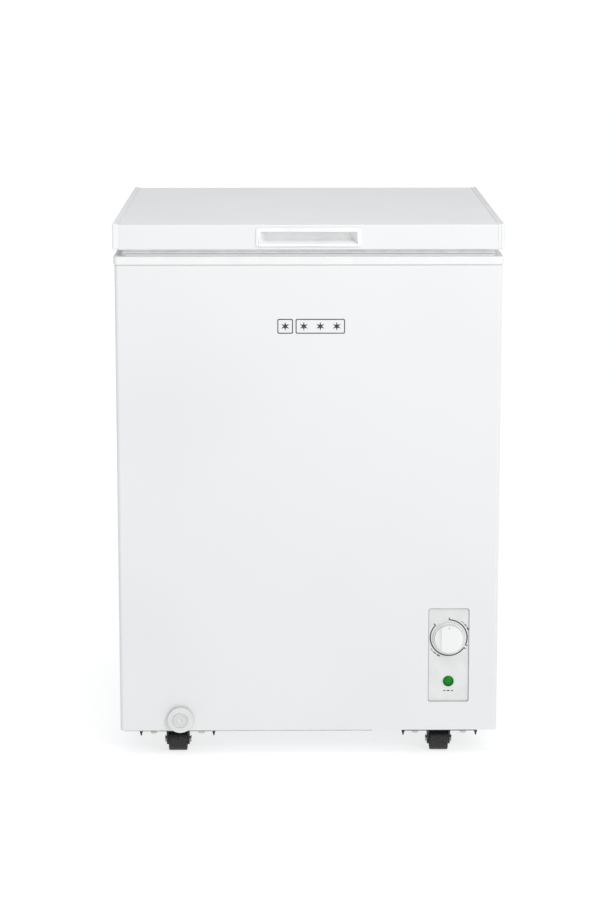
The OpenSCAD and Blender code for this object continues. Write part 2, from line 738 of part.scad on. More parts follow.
// The hose's outer shape, as a solid: down from the floor, round a bend and out to the front.
module hose_route(r, bore) {
    back = cab_front + 26;
    z0 = plug_z + hose_bend;
    y0 = funnel_y - hose_bend;
    difference() {
        union() {
            translate([plug_x, funnel_y, z0]) cylinder(r = r, h = liner_floor - 4 - z0);
            translate([plug_x, y0, z0]) rotate([0, 90, 0]) rotate([0, 0, 0])
                rotate_extrude(angle = 90) translate([hose_bend, 0]) circle(r, $fn = 48);
            translate([plug_x, y0, plug_z]) rotate([90, 0, 0]) cylinder(r = r, h = y0 - back);
        }
        if (bore > 0) {
            translate([plug_x, funnel_y, z0]) cylinder(r = bore, h = 60);
            translate([plug_x, y0, z0]) rotate([0, 90, 0])
                rotate_extrude(angle = 90) translate([hose_bend, 0]) circle(bore, $fn = 48);
            translate([plug_x, y0 + eps, plug_z]) rotate([90, 0, 0]) cylinder(r = bore, h = 200);
        }
    }
}

module drain_hose() color("#d8d8d8") hose_route(hose_r, hose_r - 2);

// The flanged ring in the liner's floor.
module drain_funnel() color(white) translate([plug_x, funnel_y, liner_floor + liner_t]) {
    ring(7, 17, 1.6);
    translate([0, 0, -liner_t - 3.6]) ring(7, hose_r, liner_t + 4);
}

// The cap on the front, with turned steps and a stub that fills the spout.
module drain_plug() color(white) on_front(plug_x, cab_front - 1.6 - rest_gap, plug_z) {
    r = plug_d / 2;
    top = plug_proud - 1.6 - rest_gap;
    rotate_extrude() difference() {
        union() {
            square([r, top - 2.5]);
            square([r - 1.2, top - 1.2]);
            square([r - 3, top - 0.6]);
            square([r * 0.5, top]);
        }
        translate([r * 0.56, top - 2.2]) square([r * 0.12, 5]);
        translate([0, top - 1.6]) square([r * 0.24, 5]);
    }
    translate([0, 0, -12]) cylinder(r = spout_r - 0.3, h = 12);
}

module drain_stopper() color(white)
    translate([plug_x, funnel_y, liner_floor + liner_t + 1.6 + rest_gap]) {
        cylinder(r = 13, h = 2.4);
        translate([0, 0, 2.4]) cylinder(r = 4, h = 7);
        translate([0, 0, 9.4]) cylinder(r = 7, h = 2);
        translate([0, 0, -9]) cylinder(r = 6.7, h = 9);
    }

// Puts children at a roller bracket: the bracket's plate lies under z = 0, centred.
module bracket_at(c) {
    translate([c[0] * roller_x, c[1] == 0 ? cab_front + roller_y : cab_back - roller_y, floor_gap])
        rotate([0, 0, c[1] * 180])
            children();
}

bolt_places = [for (x = [-bolt_x, bolt_x], y = [-bolt_y, bolt_y]) [x, y]];

// A bracket: a plate, two cheeks that hold the axle, and a pointed ear at each end.
module roller_bracket(c) color(black) bracket_at(c) difference() {
    cheek = 3;
    drop = floor_gap - roller_r;
    union() {
        translate([0, 0, -bracket_t]) linear_extrude(bracket_t)
            rounded_rect(-bracket_w / 2, -bracket_d / 2, bracket_w / 2, bracket_d / 2, 3);
        for (s = [-1, 1]) along_x(s * (roller_w / 2 + 0.6 + cheek / 2) - cheek / 2, cheek) {
            translate([0, -drop]) circle(9);
            translate([-9, -drop]) square([18, drop - bracket_t + eps]);
            polygon([[-17, -bracket_t + eps], [17, -bracket_t + eps], [9, -drop], [-9, -drop]]);
        }
        for (s = [-1, 1]) translate([s * (bracket_w / 2 - 2.5), bracket_d / 2, -bracket_t])
            rotate([90, 0, 0]) linear_extrude(bracket_d)
                polygon([[-2.5, 0], [2.5, 0], [0.7, -7], [-0.7, -7]]);
    }
    rotate([0, 90, 0]) translate([drop, 0, -bracket_w]) cylinder(r = axle_r, h = 2 * bracket_w);
    // The roller's crown runs in a slot in the plate.
    block(-roller_w / 2 - 1, roller_w / 2 + 1, -roller_r, roller_r, -bracket_t - 1, 1);
    for (p = bolt_places) translate([p[0], p[1], -10]) cylinder(r = 3.2, h = 20);
}

module roller(c) color(black) bracket_at(c) translate([-roller_w / 2, 0, roller_r - floor_gap])
    rotate([0, 90, 0]) difference() {
        union() {
            translate([0, 0, 1]) cylinder(r = roller_r, h = roller_w - 2);
            cylinder(r = roller_r - 1, h = roller_w);
        }
        for (z = [-1, roller_w - 3]) translate([0, 0, z]) ring(8, roller_r - 4, 4);
        translate([0, 0, -1]) cylinder(r = axle_r + run_fit, h = roller_w + 2);
    }

module roller_axles() color(steel) for (c = corners) bracket_at(c)
    translate([-roller_w / 2 - 5, 0, roller_r - floor_gap]) rotate([0, 90, 0]) {
        cylinder(r = axle_r - eps, h = roller_w + 10);
        translate([0, 0, -1.5]) cylinder(r = axle_r + 1.6, h = 1.5);
        translate([0, 0, roller_w + 10]) cylinder(r = axle_r + 1.6, h = 1.5);
    }

// A hexagon bolt and washer at each bracket hole.
module roller_bolts() color(steel) for (c = corners) bracket_at(c) for (p = bolt_places)
    translate([p[0], p[1], -bracket_t]) {
        translate([0, 0, -1.2]) cylinder(r = 6.5, h = 1.2);
        translate([0, 0, -5.4]) cylinder(r = 5.8, h = 4.2, $fn = 6);
        cylinder(r = 3, h = bracket_t + 9);
    }

ear_x = 19;
ear_t = 3;
hinge_screw_l = 12;
bracket_screw_places = [for (x = [-12, 12], z = [pin_z - 78, pin_z - 42]) [x, z]];

// The cabinet half of a hinge: a plate on the back and two ears that hold the pin.
module hinge_bracket(s) color(white) translate([s * hinge_x, 0, 0]) difference() {
    plate_top = rim_bottom - 1;
    y0 = foam_back + sheet;
    union() {
        block(-ear_x - ear_t, ear_x + ear_t, y0, y0 + 2, pin_z - 92, plate_top);
        for (e = [-1, 1]) along_x(e * (ear_x + ear_t / 2) - ear_t / 2, ear_t) {
            translate([pin_y, pin_z]) circle(knuckle_r);
            polygon([[pin_y - knuckle_r, pin_z], [pin_y + knuckle_r, pin_z],
                [pin_y + knuckle_r - 2, pin_z - 20], [y0 + 2, pin_z - 88], [y0, pin_z - 88],
                [y0, plate_top], [cab_back + rim_out + 1, plate_top],
                [cab_back + rim_out + 1, rim_top - 2]]);
        }
    }
    translate([-40, pin_y, pin_z]) rotate([0, 90, 0]) cylinder(r = pin_r, h = 80);
    for (p = bracket_screw_places) on_back(p[0], y0 - 5, p[1]) cylinder(r = screw_hole_r, h = 20);
}

module hinge_pins() color(steel) for (s = [-1, 1])
    translate([s * hinge_x - ear_x - ear_t - 1, pin_y, pin_z]) rotate([0, 90, 0]) {
        cylinder(r = pin_r - eps, h = 2 * (ear_x + ear_t) + 2);
        translate([0, 0, -2]) cylinder(r = pin_r + 2, h = 2);
    }

spring_half = 8;
spring_wire = 1.1;

// A torsion spring round each pin, with a leg down the bracket.
module hinge_springs() color(steel) for (s = [-1, 1]) translate([s * hinge_x, pin_y, pin_z]) {
    r = pin_r + 0.7 + spring_wire;
    turns = 4;
    swept(concat(
        [[-spring_half, -r - 1, -46], [-spring_half, -r, -6]],
        [for (a = [0:30:turns * 360])
            [-spring_half + 2 * spring_half * a / (turns * 360), -r * cos(a), r * sin(a)]]),
        spring_wire, 6);
}

module hinge_screws() color(steel) for (s = [-1, 1], p = bracket_screw_places)
    on_back(s * hinge_x + p[0], foam_back + sheet + 2, p[1]) pan_screw(hinge_screw_l);

arm_w = 2 * ear_x - 1.2;
arm_screw_places = [for (x = [-10, 10]) [x, lid_bottom + 24]];

// The lid half of a hinge: a plate on the lid's back and two knuckles round the pin.
module hinge_arm(s) color(white) translate([s * hinge_x, 0, 0]) difference() {
    y0 = lid_back - cap_proud;
    knuckle_w = arm_w / 2 - spring_half - 2.5;
    union() {
        block(-arm_w / 2, arm_w / 2, y0, y0 + 2.5, lid_bottom + 2, lid_bottom + 34);
        for (x = [-arm_w / 2, arm_w / 2 - knuckle_w]) along_x(x, knuckle_w) {
            translate([pin_y, pin_z]) circle(knuckle_r - 0.6);
            polygon([[y0 + 1, lid_bottom + 2], [pin_y, pin_z - 5], [pin_y + 4, pin_z + 4],
                [y0 + 1, lid_bottom + 20]]);
        }
    }
    translate([-40, pin_y, pin_z]) rotate([0, 90, 0]) cylinder(r = pin_r + run_fit, h = 80);
    for (p = arm_screw_places) on_back(p[0], y0 - 5, p[1]) cylinder(r = screw_hole_r, h = 20);
}

module hinge_arm_screws() color(steel) for (s = [-1, 1], p = arm_screw_places)
    on_back(s * hinge_x + p[0], lid_back - cap_proud + 2.5, p[1]) pan_screw(6);

// The lid's outline seen from the side, moved in by some distance.
module lid_outline(inset) {
    r = 3;
    y0 = skin_front + inset;
    y1 = lid_back - cap_proud - inset;
    z1 = skin_top - inset;
    translate([y0, lid_bottom + inset]) square([y1 - y0, z1 - r + inset - lid_bottom - inset]);
    translate([y0 + r - inset, lid_bottom + inset])
        square([y1 - y0 - 2 * (r - inset), z1 - lid_bottom - inset]);
    for (y = [y0 + r - inset, y1 - r + inset]) translate([y, z1 - r + inset]) circle(r - inset);
}

module grip_pocket(grow, depth) {
    on_front(0, skin_front + depth, lid_bottom + grip_up)
        linear_extrude(depth + 5)
            rounded_rect(-grip_w / 2 + 4 - grow, -grip_h / 2 + 3 - grow, grip_w / 2 - 4 + grow,
                grip_h / 2 - 3 + grow, 3);
}

// The lid's steel sheet, folded down at the front and the back.
module lid_skin() color(white) difference() {
    along_x(-skin_x, 2 * skin_x) difference() {
        lid_outline(0);
        lid_outline(sheet);
        translate([skin_front + 9, lid_bottom - 5])
            square([lid_d - 2 * cap_proud - 18, 10]);
    }
    grip_pocket(0, 5);
    for (s = [-1, 1], p = arm_screw_places)
        on_back(s * hinge_x + p[0], lid_back - 10, p[1]) cylinder(r = screw_hole_r, h = 20);
}

// A moulded cap that closes one side of the lid.
module lid_end_cap(s) color(off_white) {
    x0 = s > 0 ? skin_x : -lid_w / 2;
    x1 = s > 0 ? lid_w / 2 : -skin_x;
    t = 2.2;
    r = 2.8;
    difference() {
        translate([0, lid_back, 0]) rotate([90, 0, 0]) linear_extrude(lid_d)
            difference() {
                union() {
                    rounded_rect(x0, lid_bottom, x1, lid_top, r);
                    translate([s > 0 ? x0 : x1 - r, lid_bottom]) square([r, lid_h]);
                }
            }
        // Hollow, and open towards the lid's middle.
        block(s > 0 ? x0 - 1 : x0 + t, s > 0 ? x1 - t : x1 + 1, lid_front + t + 1,
            lid_back - t - 1, lid_bottom + t, skin_top - t);
    }
}

module lid_foam() color(foam_colour) difference() {
    union() {
        along_x(-skin_x, 2 * skin_x) intersection() {
            lid_outline(sheet);
            translate([skin_front, plate_z + liner_t]) square([lid_d, lid_h]);
        }
        lid_plateau(liner_t, plate_z + liner_t + 1);
    }
    grip_pocket(fit, grip_depth + 3);
    for (s = [-1, 1], p = arm_screw_places)
        on_back(s * hinge_x + p[0], lid_back - 12, p[1]) cylinder(r = 3, h = 20);
}

// The plateau's shape under the lid, moved in by some distance, up to some height.
module lid_plateau(inset, top) {
    g = plateau_gap + inset;
    rounded_block(-open_x + g, open_x - g, open_front + g, open_back - g, plateau_z + inset,
        top, max(liner_r - g, 5));
}

// The lid's moulded inner panel: a border and a plateau that reaches into the opening.
module lid_liner() color(off_white) difference() {
    union() {
        block(-skin_x, skin_x, skin_front + sheet, lid_back - cap_proud - sheet, plate_z,
            plate_z + liner_t);
        lid_plateau(0, plate_z + liner_t);
    }
    lid_plateau(liner_t, plate_z + liner_t + 1);
}

// The magnetic gasket: a hollow bellows round the lid's border.
module lid_gasket() color("gainsboro") {
    x = cab_x + rim_out - land_inset - 2;
    front = cab_front - rim_out + land_inset + 2;
    back = cab_back + rim_out - land_inset - 2;
    low = land_top + rest_gap;
    difference() {
        union() {
            rounded_block(-x, x, front, back, low, low + 3.2, 5);
            rounded_block(-x + 3, x - 3, front + 3, back - 3, low + 1, plate_z, 4);
            rounded_block(-x + 1, x - 1, front + 1, back - 1, plate_z - 2, plate_z, 4);
        }
        rounded_block(-x + gasket_w, x - gasket_w, front + gasket_w, back - gasket_w,
            low - 1, plate_z + 1, 4);
    }
}

// The moulded grip: a proud frame round a recess whose floor climbs to the back.
module lid_grip() color(white) difference() {
    mid = lid_bottom + grip_up;
    proud = 2;
    wall_t = 2.5;
    low = mid - grip_open_h / 2 - 0.5;
    high = low + grip_open_h;
    union() {
        on_front(0, skin_front, mid) linear_extrude(proud)
            rounded_rect(-grip_w / 2, -grip_h / 2, grip_w / 2, grip_h / 2, 3.5);
        on_front(0, skin_front + grip_depth + wall_t, mid) linear_extrude(grip_depth + wall_t + eps)
            rounded_rect(-grip_w / 2 + 4 + fit, -grip_h / 2 + 3 + fit, grip_w / 2 - 4 - fit,
                grip_h / 2 - 3 - fit, 3);
    }
    front = skin_front - proud;
    intersection() {
        along_x(-grip_open_w / 2, grip_open_w) polygon([
            [front - 1, low], [front, low], [front + grip_depth, low + 3.5],
            [front + grip_depth, high + 1.2], [skin_front + 2, high + 1.2],
            [skin_front, high], [front - 1, high]]);
        // Both ends draw in towards the back.
        w = grip_open_w / 2;
        translate([0, 0, low - 5]) linear_extrude(grip_open_h + 10)
            polygon([[-w, front - 1], [w, front - 1], [w, front], [w - grip_taper, front + grip_depth],
                [grip_taper - w, front + grip_depth], [-w, front]]);
    }
}

// The basket's square corners clear the opening's round ones by 1 mm.
basket_gap = (1 - sqrt(0.5)) * (liner_r - liner_t - rim_t) + 1;
basket_x1 = open_x - basket_gap;
basket_x0 = basket_x1 - basket_w;
basket_y0 = open_front + basket_gap;
basket_y1 = open_back - basket_gap;
basket_top = plateau_z - 6;
basket_bottom = land_top - basket_h;

// A flat welded grid in the X-Y plane, w by h, standing one wire thick.
module wire_grid(w, h, across, up) {
    linear_extrude(wire) {
        for (i = [0:across]) translate([i * (w - wire) / across, 0]) square([wire, h]);
        for (i = [0:up]) translate([0, i * (h - wire) / up]) square([w, wire]);
    }
}

// The basket: five wire grids and two rails that lie on the rim's land. Each is welded to the
// next across a hair's gap, so that it stays a flat piece of its own.
module wire_basket() color(off_white) {
    weld = 0.02;
    depth = basket_y1 - basket_y0;
    z0 = basket_bottom + wire + weld;
    side_h = basket_top - z0;
    translate([basket_x0, basket_y0, basket_bottom]) wire_grid(basket_w, depth, 6, 12);
    for (y = [basket_y0 + wire, basket_y1])
        translate([basket_x0, y, z0]) rotate([90, 0, 0]) wire_grid(basket_w, side_h, 6, 4);
    for (x = [basket_x0, basket_x1 - wire]) translate([x, basket_y0 + wire + weld, z0])
        rotate([90, 0, 90]) wire_grid(depth - 2 * (wire + weld), side_h, 12, 4);
    for (s = [0, 1]) along_x(basket_x0 + 30, basket_w - 60)
        translate([s == 0 ? basket_y0 : basket_y1, 0]) mirror([s, 0]) {
            translate([0, basket_top + weld])
                square([wire, land_top + rest_gap + wire - basket_top - weld]);
            translate([-basket_gap - 9, land_top + rest_gap])
                square([basket_gap + 9 + wire, wire]);
        }
}

cabinet_wrap();
back_panel();
base_panel();
insulation_foam();
inner_liner();
rim_frame();
machine_bay_liner();
evaporator_coil();
condenser_coil();
compressor();
compressor_feet();
compressor_grommets();
compressor_bolts();
compressor_base();
relay_cover();
filter_drier();
suction_pipe();
discharge_pipe();
capillary_tube();
terminal_box();
cord_gland();
bay_cover();
bay_cover_screws();
control_panel();
thermostat();
lamp_lens();
lamp_holder();
drain_spout();
drain_hose();
drain_funnel();
hinge_bracket(-1);  // hinge_bracket_left
hinge_bracket(1);  // hinge_bracket_right
hinge_pins();
hinge_springs();
hinge_screws();
roller_bracket(corners[0]);  // roller_bracket_fl
roller_bracket(corners[1]);  // roller_bracket_fr
roller_bracket(corners[2]);  // roller_bracket_rl
roller_bracket(corners[3]);  // roller_bracket_rr
roller_axles();
roller_bolts();
roller(corners[0]);  // roller_fl
roller(corners[1]);  // roller_fr
roller(corners[2]);  // roller_rl
roller(corners[3]);  // roller_rr
knob();
knob_spindle();
drain_plug();
drain_stopper();
wire_basket();
lid_skin();
lid_end_cap(-1);  // lid_end_cap_left
lid_end_cap(1);  // lid_end_cap_right
lid_foam();
lid_liner();
lid_gasket();
lid_grip();
hinge_arm(-1);  // hinge_arm_left
hinge_arm(1);  // hinge_arm_right
hinge_arm_screws();
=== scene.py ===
"""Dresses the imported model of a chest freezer: painted sheet, moulded trim, controls, rollers,
hinges, the cold space and its basket, on a plain pale stage."""

import math

import bmesh
import bpy
from bpy.props import FloatProperty, FloatVectorProperty, PointerProperty, StringProperty
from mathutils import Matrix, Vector


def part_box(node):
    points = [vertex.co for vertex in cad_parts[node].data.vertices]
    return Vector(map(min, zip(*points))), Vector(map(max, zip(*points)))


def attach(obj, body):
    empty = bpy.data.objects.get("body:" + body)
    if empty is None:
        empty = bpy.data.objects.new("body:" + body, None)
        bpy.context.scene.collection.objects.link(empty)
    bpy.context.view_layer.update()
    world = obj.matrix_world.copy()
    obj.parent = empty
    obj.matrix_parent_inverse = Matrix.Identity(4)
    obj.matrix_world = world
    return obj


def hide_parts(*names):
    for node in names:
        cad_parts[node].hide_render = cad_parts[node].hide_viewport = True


bl_info = {
    "name": "Chest Freezer",
    "version": (1, 0, 0),
    "blender": (4, 5, 0),
    "location": "View3D > Sidebar > Freezer",
    "description": "Builds a chest freezer's finished pieces round its packed model",
    "category": "Add Mesh",
}

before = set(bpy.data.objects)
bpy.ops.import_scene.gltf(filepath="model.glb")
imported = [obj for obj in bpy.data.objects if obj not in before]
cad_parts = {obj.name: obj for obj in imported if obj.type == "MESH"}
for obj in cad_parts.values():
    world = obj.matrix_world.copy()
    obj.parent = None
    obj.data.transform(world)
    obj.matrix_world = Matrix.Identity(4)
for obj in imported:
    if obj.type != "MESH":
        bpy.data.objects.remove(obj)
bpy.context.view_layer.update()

MM = 0.001
TOUCH = 0.02 * MM
FILM = 0.05 * MM
PAST = 5 * MM  # how far a cutter reaches past the face it cuts
SKIRT = 12 * MM  # height of the rim frame's skirt
FLANGE = 5 * MM  # how far the control panel's flange reaches past its face
FULL_TURN = 2 * math.pi
X, Y, Z = Vector((1, 0, 0)), Vector((0, 1, 0)), Vector((0, 0, 1))
AXES = {"x": X, "y": Y, "z": Z}


# --------------------------------------------------------------------------------------------
# Selecting and shaping
# --------------------------------------------------------------------------------------------

def only(*pieces):
    """Leaves edit mode and selects these pieces alone."""
    active = bpy.context.view_layer.objects.active
    if active and active.mode != "OBJECT":
        bpy.ops.object.mode_set(mode="OBJECT")
    bpy.ops.object.select_all(action="DESELECT")
    for piece in pieces:
        piece.select_set(True)
    bpy.context.view_layer.objects.active = pieces[0] if pieces else None


def settle(name):
    """Names the new object, and puts its place, turn and scale into its mesh."""
    piece = bpy.context.object
    piece.name = piece.data.name = name
    bpy.ops.object.transform_apply(location=True, rotation=True, scale=True)
    return piece


def block(name, low, high):
    """A box from its lowest to its highest corner."""
    only()
    low, high = Vector(low), Vector(high)
    bpy.ops.mesh.primitive_cube_add(size=1, location=(low + high) / 2, scale=high - low)
    return settle(name)


def drum(name, start, along, radius, length, sides=64):
    """A cylinder that begins at start and points along a direction."""
    only()
    start, along = Vector(start), Vector(along).normalized()
    bpy.ops.mesh.primitive_cone_add(
        vertices=sides,
        radius1=radius,
        radius2=radius,
        depth=length,
        location=start + along * length / 2,
        rotation=along.to_track_quat("Z", "Y").to_euler(),
    )
    return settle(name)


def pick(piece, kind, test):
    """Selects, in edit mode, the faces, edges or vertices that pass a test."""
    if piece.mode != "EDIT":
        only(piece)
        bpy.ops.object.mode_set(mode="EDIT")
    bpy.ops.mesh.select_mode(type=kind)
    bpy.ops.mesh.select_all(action="DESELECT")
    mesh = bmesh.from_edit_mesh(piece.data)
    items = {"FACE": mesh.faces, "EDGE": mesh.edges, "VERT": mesh.verts}[kind]
    found = [item for item in items if test(item)]
    if not found:
        raise ValueError(f"{piece.name}: nothing of kind {kind} to shape there")
    for item in found:
        item.select_set(True)
    bmesh.update_edit_mesh(piece.data)


def at(x=None, y=None, z=None):
    """A test for what lies wholly at these coordinates. Each may be one value or several."""
    wanted = [(i, v if isinstance(v, (tuple, list)) else (v,))
              for i, v in enumerate((x, y, z)) if v is not None]

    def test(item):
        points = [item] if isinstance(item, bmesh.types.BMVert) else item.verts
        return all(any(abs(p.co[i] - v) < TOUCH for v in values)
                   for p in points for i, values in wanted)

    return test


def along(axis, **where):
    """A test for edges that run along an axis, at these coordinates."""
    placed = at(**where)

    def test(edge):
        run = edge.verts[1].co - edge.verts[0].co
        parallel = run.length > TOUCH and abs(run.normalized().dot(AXES[axis])) > 0.999
        return parallel and placed(edge)

    return test


def bevel(piece, test, width, segments=4):
    pick(piece, "EDGE", test)
    bpy.ops.mesh.bevel(offset=width, segments=segments, affect="EDGES")


def extrude(piece, kind, test, by):
    pick(piece, kind, test)
    bpy.ops.mesh.extrude_region_move(TRANSFORM_OT_translate={"value": Vector(by)})


def inset(piece, test, thickness):
    pick(piece, "FACE", test)
    bpy.ops.mesh.inset(thickness=thickness)


def remove(piece, kind, test):
    pick(piece, kind, test)
    bpy.ops.mesh.delete(type=kind)


def stretch(piece, kind, test, factors, about):
    pick(piece, kind, test)
    bpy.ops.transform.resize(value=factors, center_override=Vector(about))


def mend(piece):
    """Merges doubled points and points every face outwards."""
    pick(piece, "VERT", lambda point: True)
    bpy.ops.mesh.remove_doubles(threshold=TOUCH / 4)
    bpy.ops.mesh.select_all(action="SELECT")
    bpy.ops.mesh.normals_make_consistent(inside=False)


def modify(piece, kind, **settings):
    """Adds a modifier and applies it."""
    only(piece)
    modifier = piece.modifiers.new(kind.title(), kind)
    for key, value in settings.items():
        setattr(modifier, key, value)
    bpy.ops.object.modifier_apply(modifier=modifier.name)


def cut(piece, cutter, operation="DIFFERENCE"):
    """Cuts a piece with another, or joins them into one skin."""
    only(piece)
    modify(piece, "BOOLEAN", object=cutter, operation=operation, solver="EXACT")
    bpy.data.objects.remove(cutter)


def ease(piece, width, segments=2, angle=40):
    """Rounds every edge sharper than an angle."""
    modify(piece, "BEVEL", width=width, segments=segments, limit_method="ANGLE",
           angle_limit=math.radians(angle), miter_outer="MITER_ARC")


def join(name, pieces):
    only(*pieces)
    if len(pieces) > 1:
        bpy.ops.object.join()
    piece = bpy.context.object
    piece.name = piece.data.name = name
    return piece


def stand(piece, start, turn):
    """Turns a piece about the origin, then moves it to start."""
    only(piece)
    piece.rotation_euler = turn
    piece.location = start
    bpy.ops.object.transform_apply(location=True, rotation=True, scale=True)
    return piece


def place(piece, start, direction=Z):
    """Turns a piece made round +Z so that it points along a direction, and moves it to start."""
    return stand(piece, start, Vector(direction).to_track_quat("Z", "Y").to_euler())


def place_front(piece, start):
    """Turns a piece made round +Z to face the front, with its +Y upwards."""
    return stand(piece, start, (math.pi / 2, 0, 0))


def place_back(piece, start):
    """Turns a piece made round +Z to face the back."""
    return stand(piece, start, (-math.pi / 2, 0, 0))


def copy_to(piece, name, start, direction=Z):
    """A copy, with its own mesh, of a piece made round +Z at the origin."""
    only(piece)
    bpy.ops.object.duplicate(linked=False)
    twin = bpy.context.object
    twin.name = twin.data.name = name
    return place(twin, start, direction)


def line(name, points):
    """A row of edges, drawn point by point."""
    only()
    bpy.ops.mesh.primitive_plane_add(size=MM, location=points[0])
    piece = settle(name)
    bpy.ops.object.mode_set(mode="EDIT")
    bpy.ops.mesh.select_mode(type="VERT")
    bpy.ops.mesh.select_all(action="SELECT")
    bpy.ops.mesh.merge(type="CENTER")
    for a, b in zip(points, points[1:]):
        bpy.ops.mesh.extrude_region_move(
            TRANSFORM_OT_translate={"value": Vector(b) - Vector(a)})
    return piece


def turned(name, profile, steps=64):
    """A shape turned round Z. The profile is a row of (radius, height) points in millimetres."""
    piece = line(name, [(r * MM, 0, h * MM) for r, h in profile])
    bpy.ops.mesh.select_all(action="SELECT")
    bpy.ops.mesh.spin(steps=steps, angle=FULL_TURN, center=(0, 0, 0), axis=(0, 0, 1))
    mend(piece)
    return piece


def arc(x, y, radius, start, end, steps=5):
    """Points along an arc, from one angle in degrees to another."""
    angles = [math.radians(start + (end - start) * i / steps) for i in range(steps + 1)]
    return [(x + radius * math.cos(a), y + radius * math.sin(a)) for a in angles]


def wire(name, points, radius, closed=False, resolution=2):
    """A round wire through points, as a mesh."""
    only()
    data = bpy.data.curves.new(name, "CURVE")
    data.dimensions = "3D"
    data.bevel_depth = radius
    data.bevel_resolution = resolution
    data.use_fill_caps = True
    spline = data.splines.new("POLY")
    spline.points.add(len(points) - 1)
    for point, place_ in zip(spline.points, points):
        point.co = (*place_, 1)
    spline.use_cyclic_u = closed
    piece = bpy.data.objects.new(name, data)
    bpy.context.scene.collection.objects.link(piece)
    only(piece)
    bpy.ops.object.convert(target="MESH")
    piece = bpy.context.object
    mend(piece)
    return piece


def bent(points, radius, steps=4):
    """A row of points with each inner corner replaced by an arc."""
    points = [Vector(p) for p in points]
    out = [points[0]]
    for before, corner, after in zip(points, points[1:], points[2:]):
        first, second = (before - corner).normalized(), (after - corner).normalized()
        half = first.angle(second) / 2
        reach = radius / math.tan(half)
        start, end = corner + first * reach, corner + second * reach
        middle = corner + (first + second).normalized() * (radius / math.sin(half))
        for i in range(steps + 1):
            point = start.lerp(end, i / steps)
            out.append(middle + (point - middle).normalized() * radius)
    return out + [points[-1]]


def centre_of(node):
    """The middle of a node's box."""
    low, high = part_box(node)
    return (low + high) / 2


def eased_copy(node, name, segments=3):
    """A merged copy of a model's node with its edges rounded by half a millimetre."""
    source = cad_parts[node]
    only(source)
    bpy.ops.object.duplicate(linked=False)
    piece = bpy.context.object
    for key in list(piece.keys()):
        del piece[key]
    piece.parent = None
    piece.data.materials.clear()
    piece.name = piece.data.name = name
    pick(piece, "VERT", lambda point: True)
    bpy.ops.mesh.remove_doubles(threshold=TOUCH / 4)
    bpy.ops.mesh.select_all(action="SELECT")
    bpy.ops.mesh.dissolve_limited(angle_limit=math.radians(0.5))
    ease(piece, 0.5 * MM, segments)
    return piece


def finish(piece, body, slot, *nodes, look=None, angle=35):
    """Shades a piece, paints it, sets it on its body and hides the nodes it stands for.
    It looks like its slot, unless another look is named."""
    only(piece)
    bpy.ops.object.shade_smooth_by_angle(angle=math.radians(angle))
    # Flat faces keep flat shading, and the rounded edges between them take up the turn.
    modify(piece, "WEIGHTED_NORMAL", keep_sharp=True, weight=80)
    piece.data.materials.clear()
    piece.data.materials.append(finish_for(look or slot))
    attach(piece, body)
    if nodes:
        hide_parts(*nodes)
    return piece


# --------------------------------------------------------------------------------------------
# Finishes
# --------------------------------------------------------------------------------------------

def linear(code):
    """The linear colour of an sRGB hex code."""
    parts = [int(code[i:i + 2], 16) / 255 for i in (1, 3, 5)]
    return (*[c / 12.92 if c <= 0.04045 else ((c + 0.055) / 1.055) ** 2.4 for c in parts], 1)


def add_node(material, kind, settings=None, links=None):
    """Adds a node. Settings are its properties or its sockets' values; stops fill its ramp."""
    node = material.node_tree.nodes.new(kind)
    for key, value in (settings or {}).items():
        if key == "stops":
            ramp = node.color_ramp.elements
            while len(ramp) < len(value):
                ramp.new(0.5)
            for element, (position, colour) in zip(ramp, value):
                element.position, element.color = position, colour
        elif isinstance(key, int) or key in node.inputs:
            node.inputs[key].default_value = value
        else:
            setattr(node, key, value)
    for key, source in (links or {}).items():
        material.node_tree.links.new(source, node.inputs[key])
    return node


def start_finish(name, colour, **sockets):
    """A named material with its shader, and the piece's own coordinates in metres."""
    material = bpy.data.materials.new(name)
    material.use_nodes = True
    material.diffuse_color = linear(colour)
    shader = material.node_tree.nodes["Principled BSDF"]
    shader.inputs["Base Color"].default_value = linear(colour)
    for key, value in sockets.items():
        shader.inputs[key.replace("_", " ")].default_value = value
    coordinates = add_node(material, "ShaderNodeTexCoord")
    return material, shader, coordinates.outputs["Object"]


def grain(material, coordinates, size, detail=2.0, stretch_by=(1, 1, 1)):
    """Noise whose patches are about size metres across."""
    mapped = add_node(material, "ShaderNodeMapping", {"Scale": stretch_by},
                      {"Vector": coordinates})
    noise = add_node(material, "ShaderNodeTexNoise", {"Scale": 1 / size, "Detail": detail},
                     {"Vector": mapped.outputs["Vector"]})
    return noise.outputs["Fac"]


def cells(material, coordinates, size):
    """A pattern of cells about size metres across."""
    return add_node(
        material, "ShaderNodeTexVoronoi", {"Scale": 1 / size}, {"Vector": coordinates})


def vary(material, shader, factor, first, second, low=0.35, high=0.65):
    """Lets the base colour drift between two colours with a factor."""
    ramp = add_node(material, "ShaderNodeValToRGB",
                    {"stops": [(low, linear(first)), (high, linear(second))]}, {"Fac": factor})
    material.node_tree.links.new(ramp.outputs["Color"], shader.inputs["Base Color"])
    return ramp.outputs["Color"]


def roughen(material, shader, factor, low, high):
    """Lets the roughness drift between two values with a factor."""
    spread = add_node(material, "ShaderNodeMapRange",
                      {"From Min": 0.3, "From Max": 0.7, "To Min": low, "To Max": high},
                      {"Value": factor})
    material.node_tree.links.new(spread.outputs["Result"], shader.inputs["Roughness"])


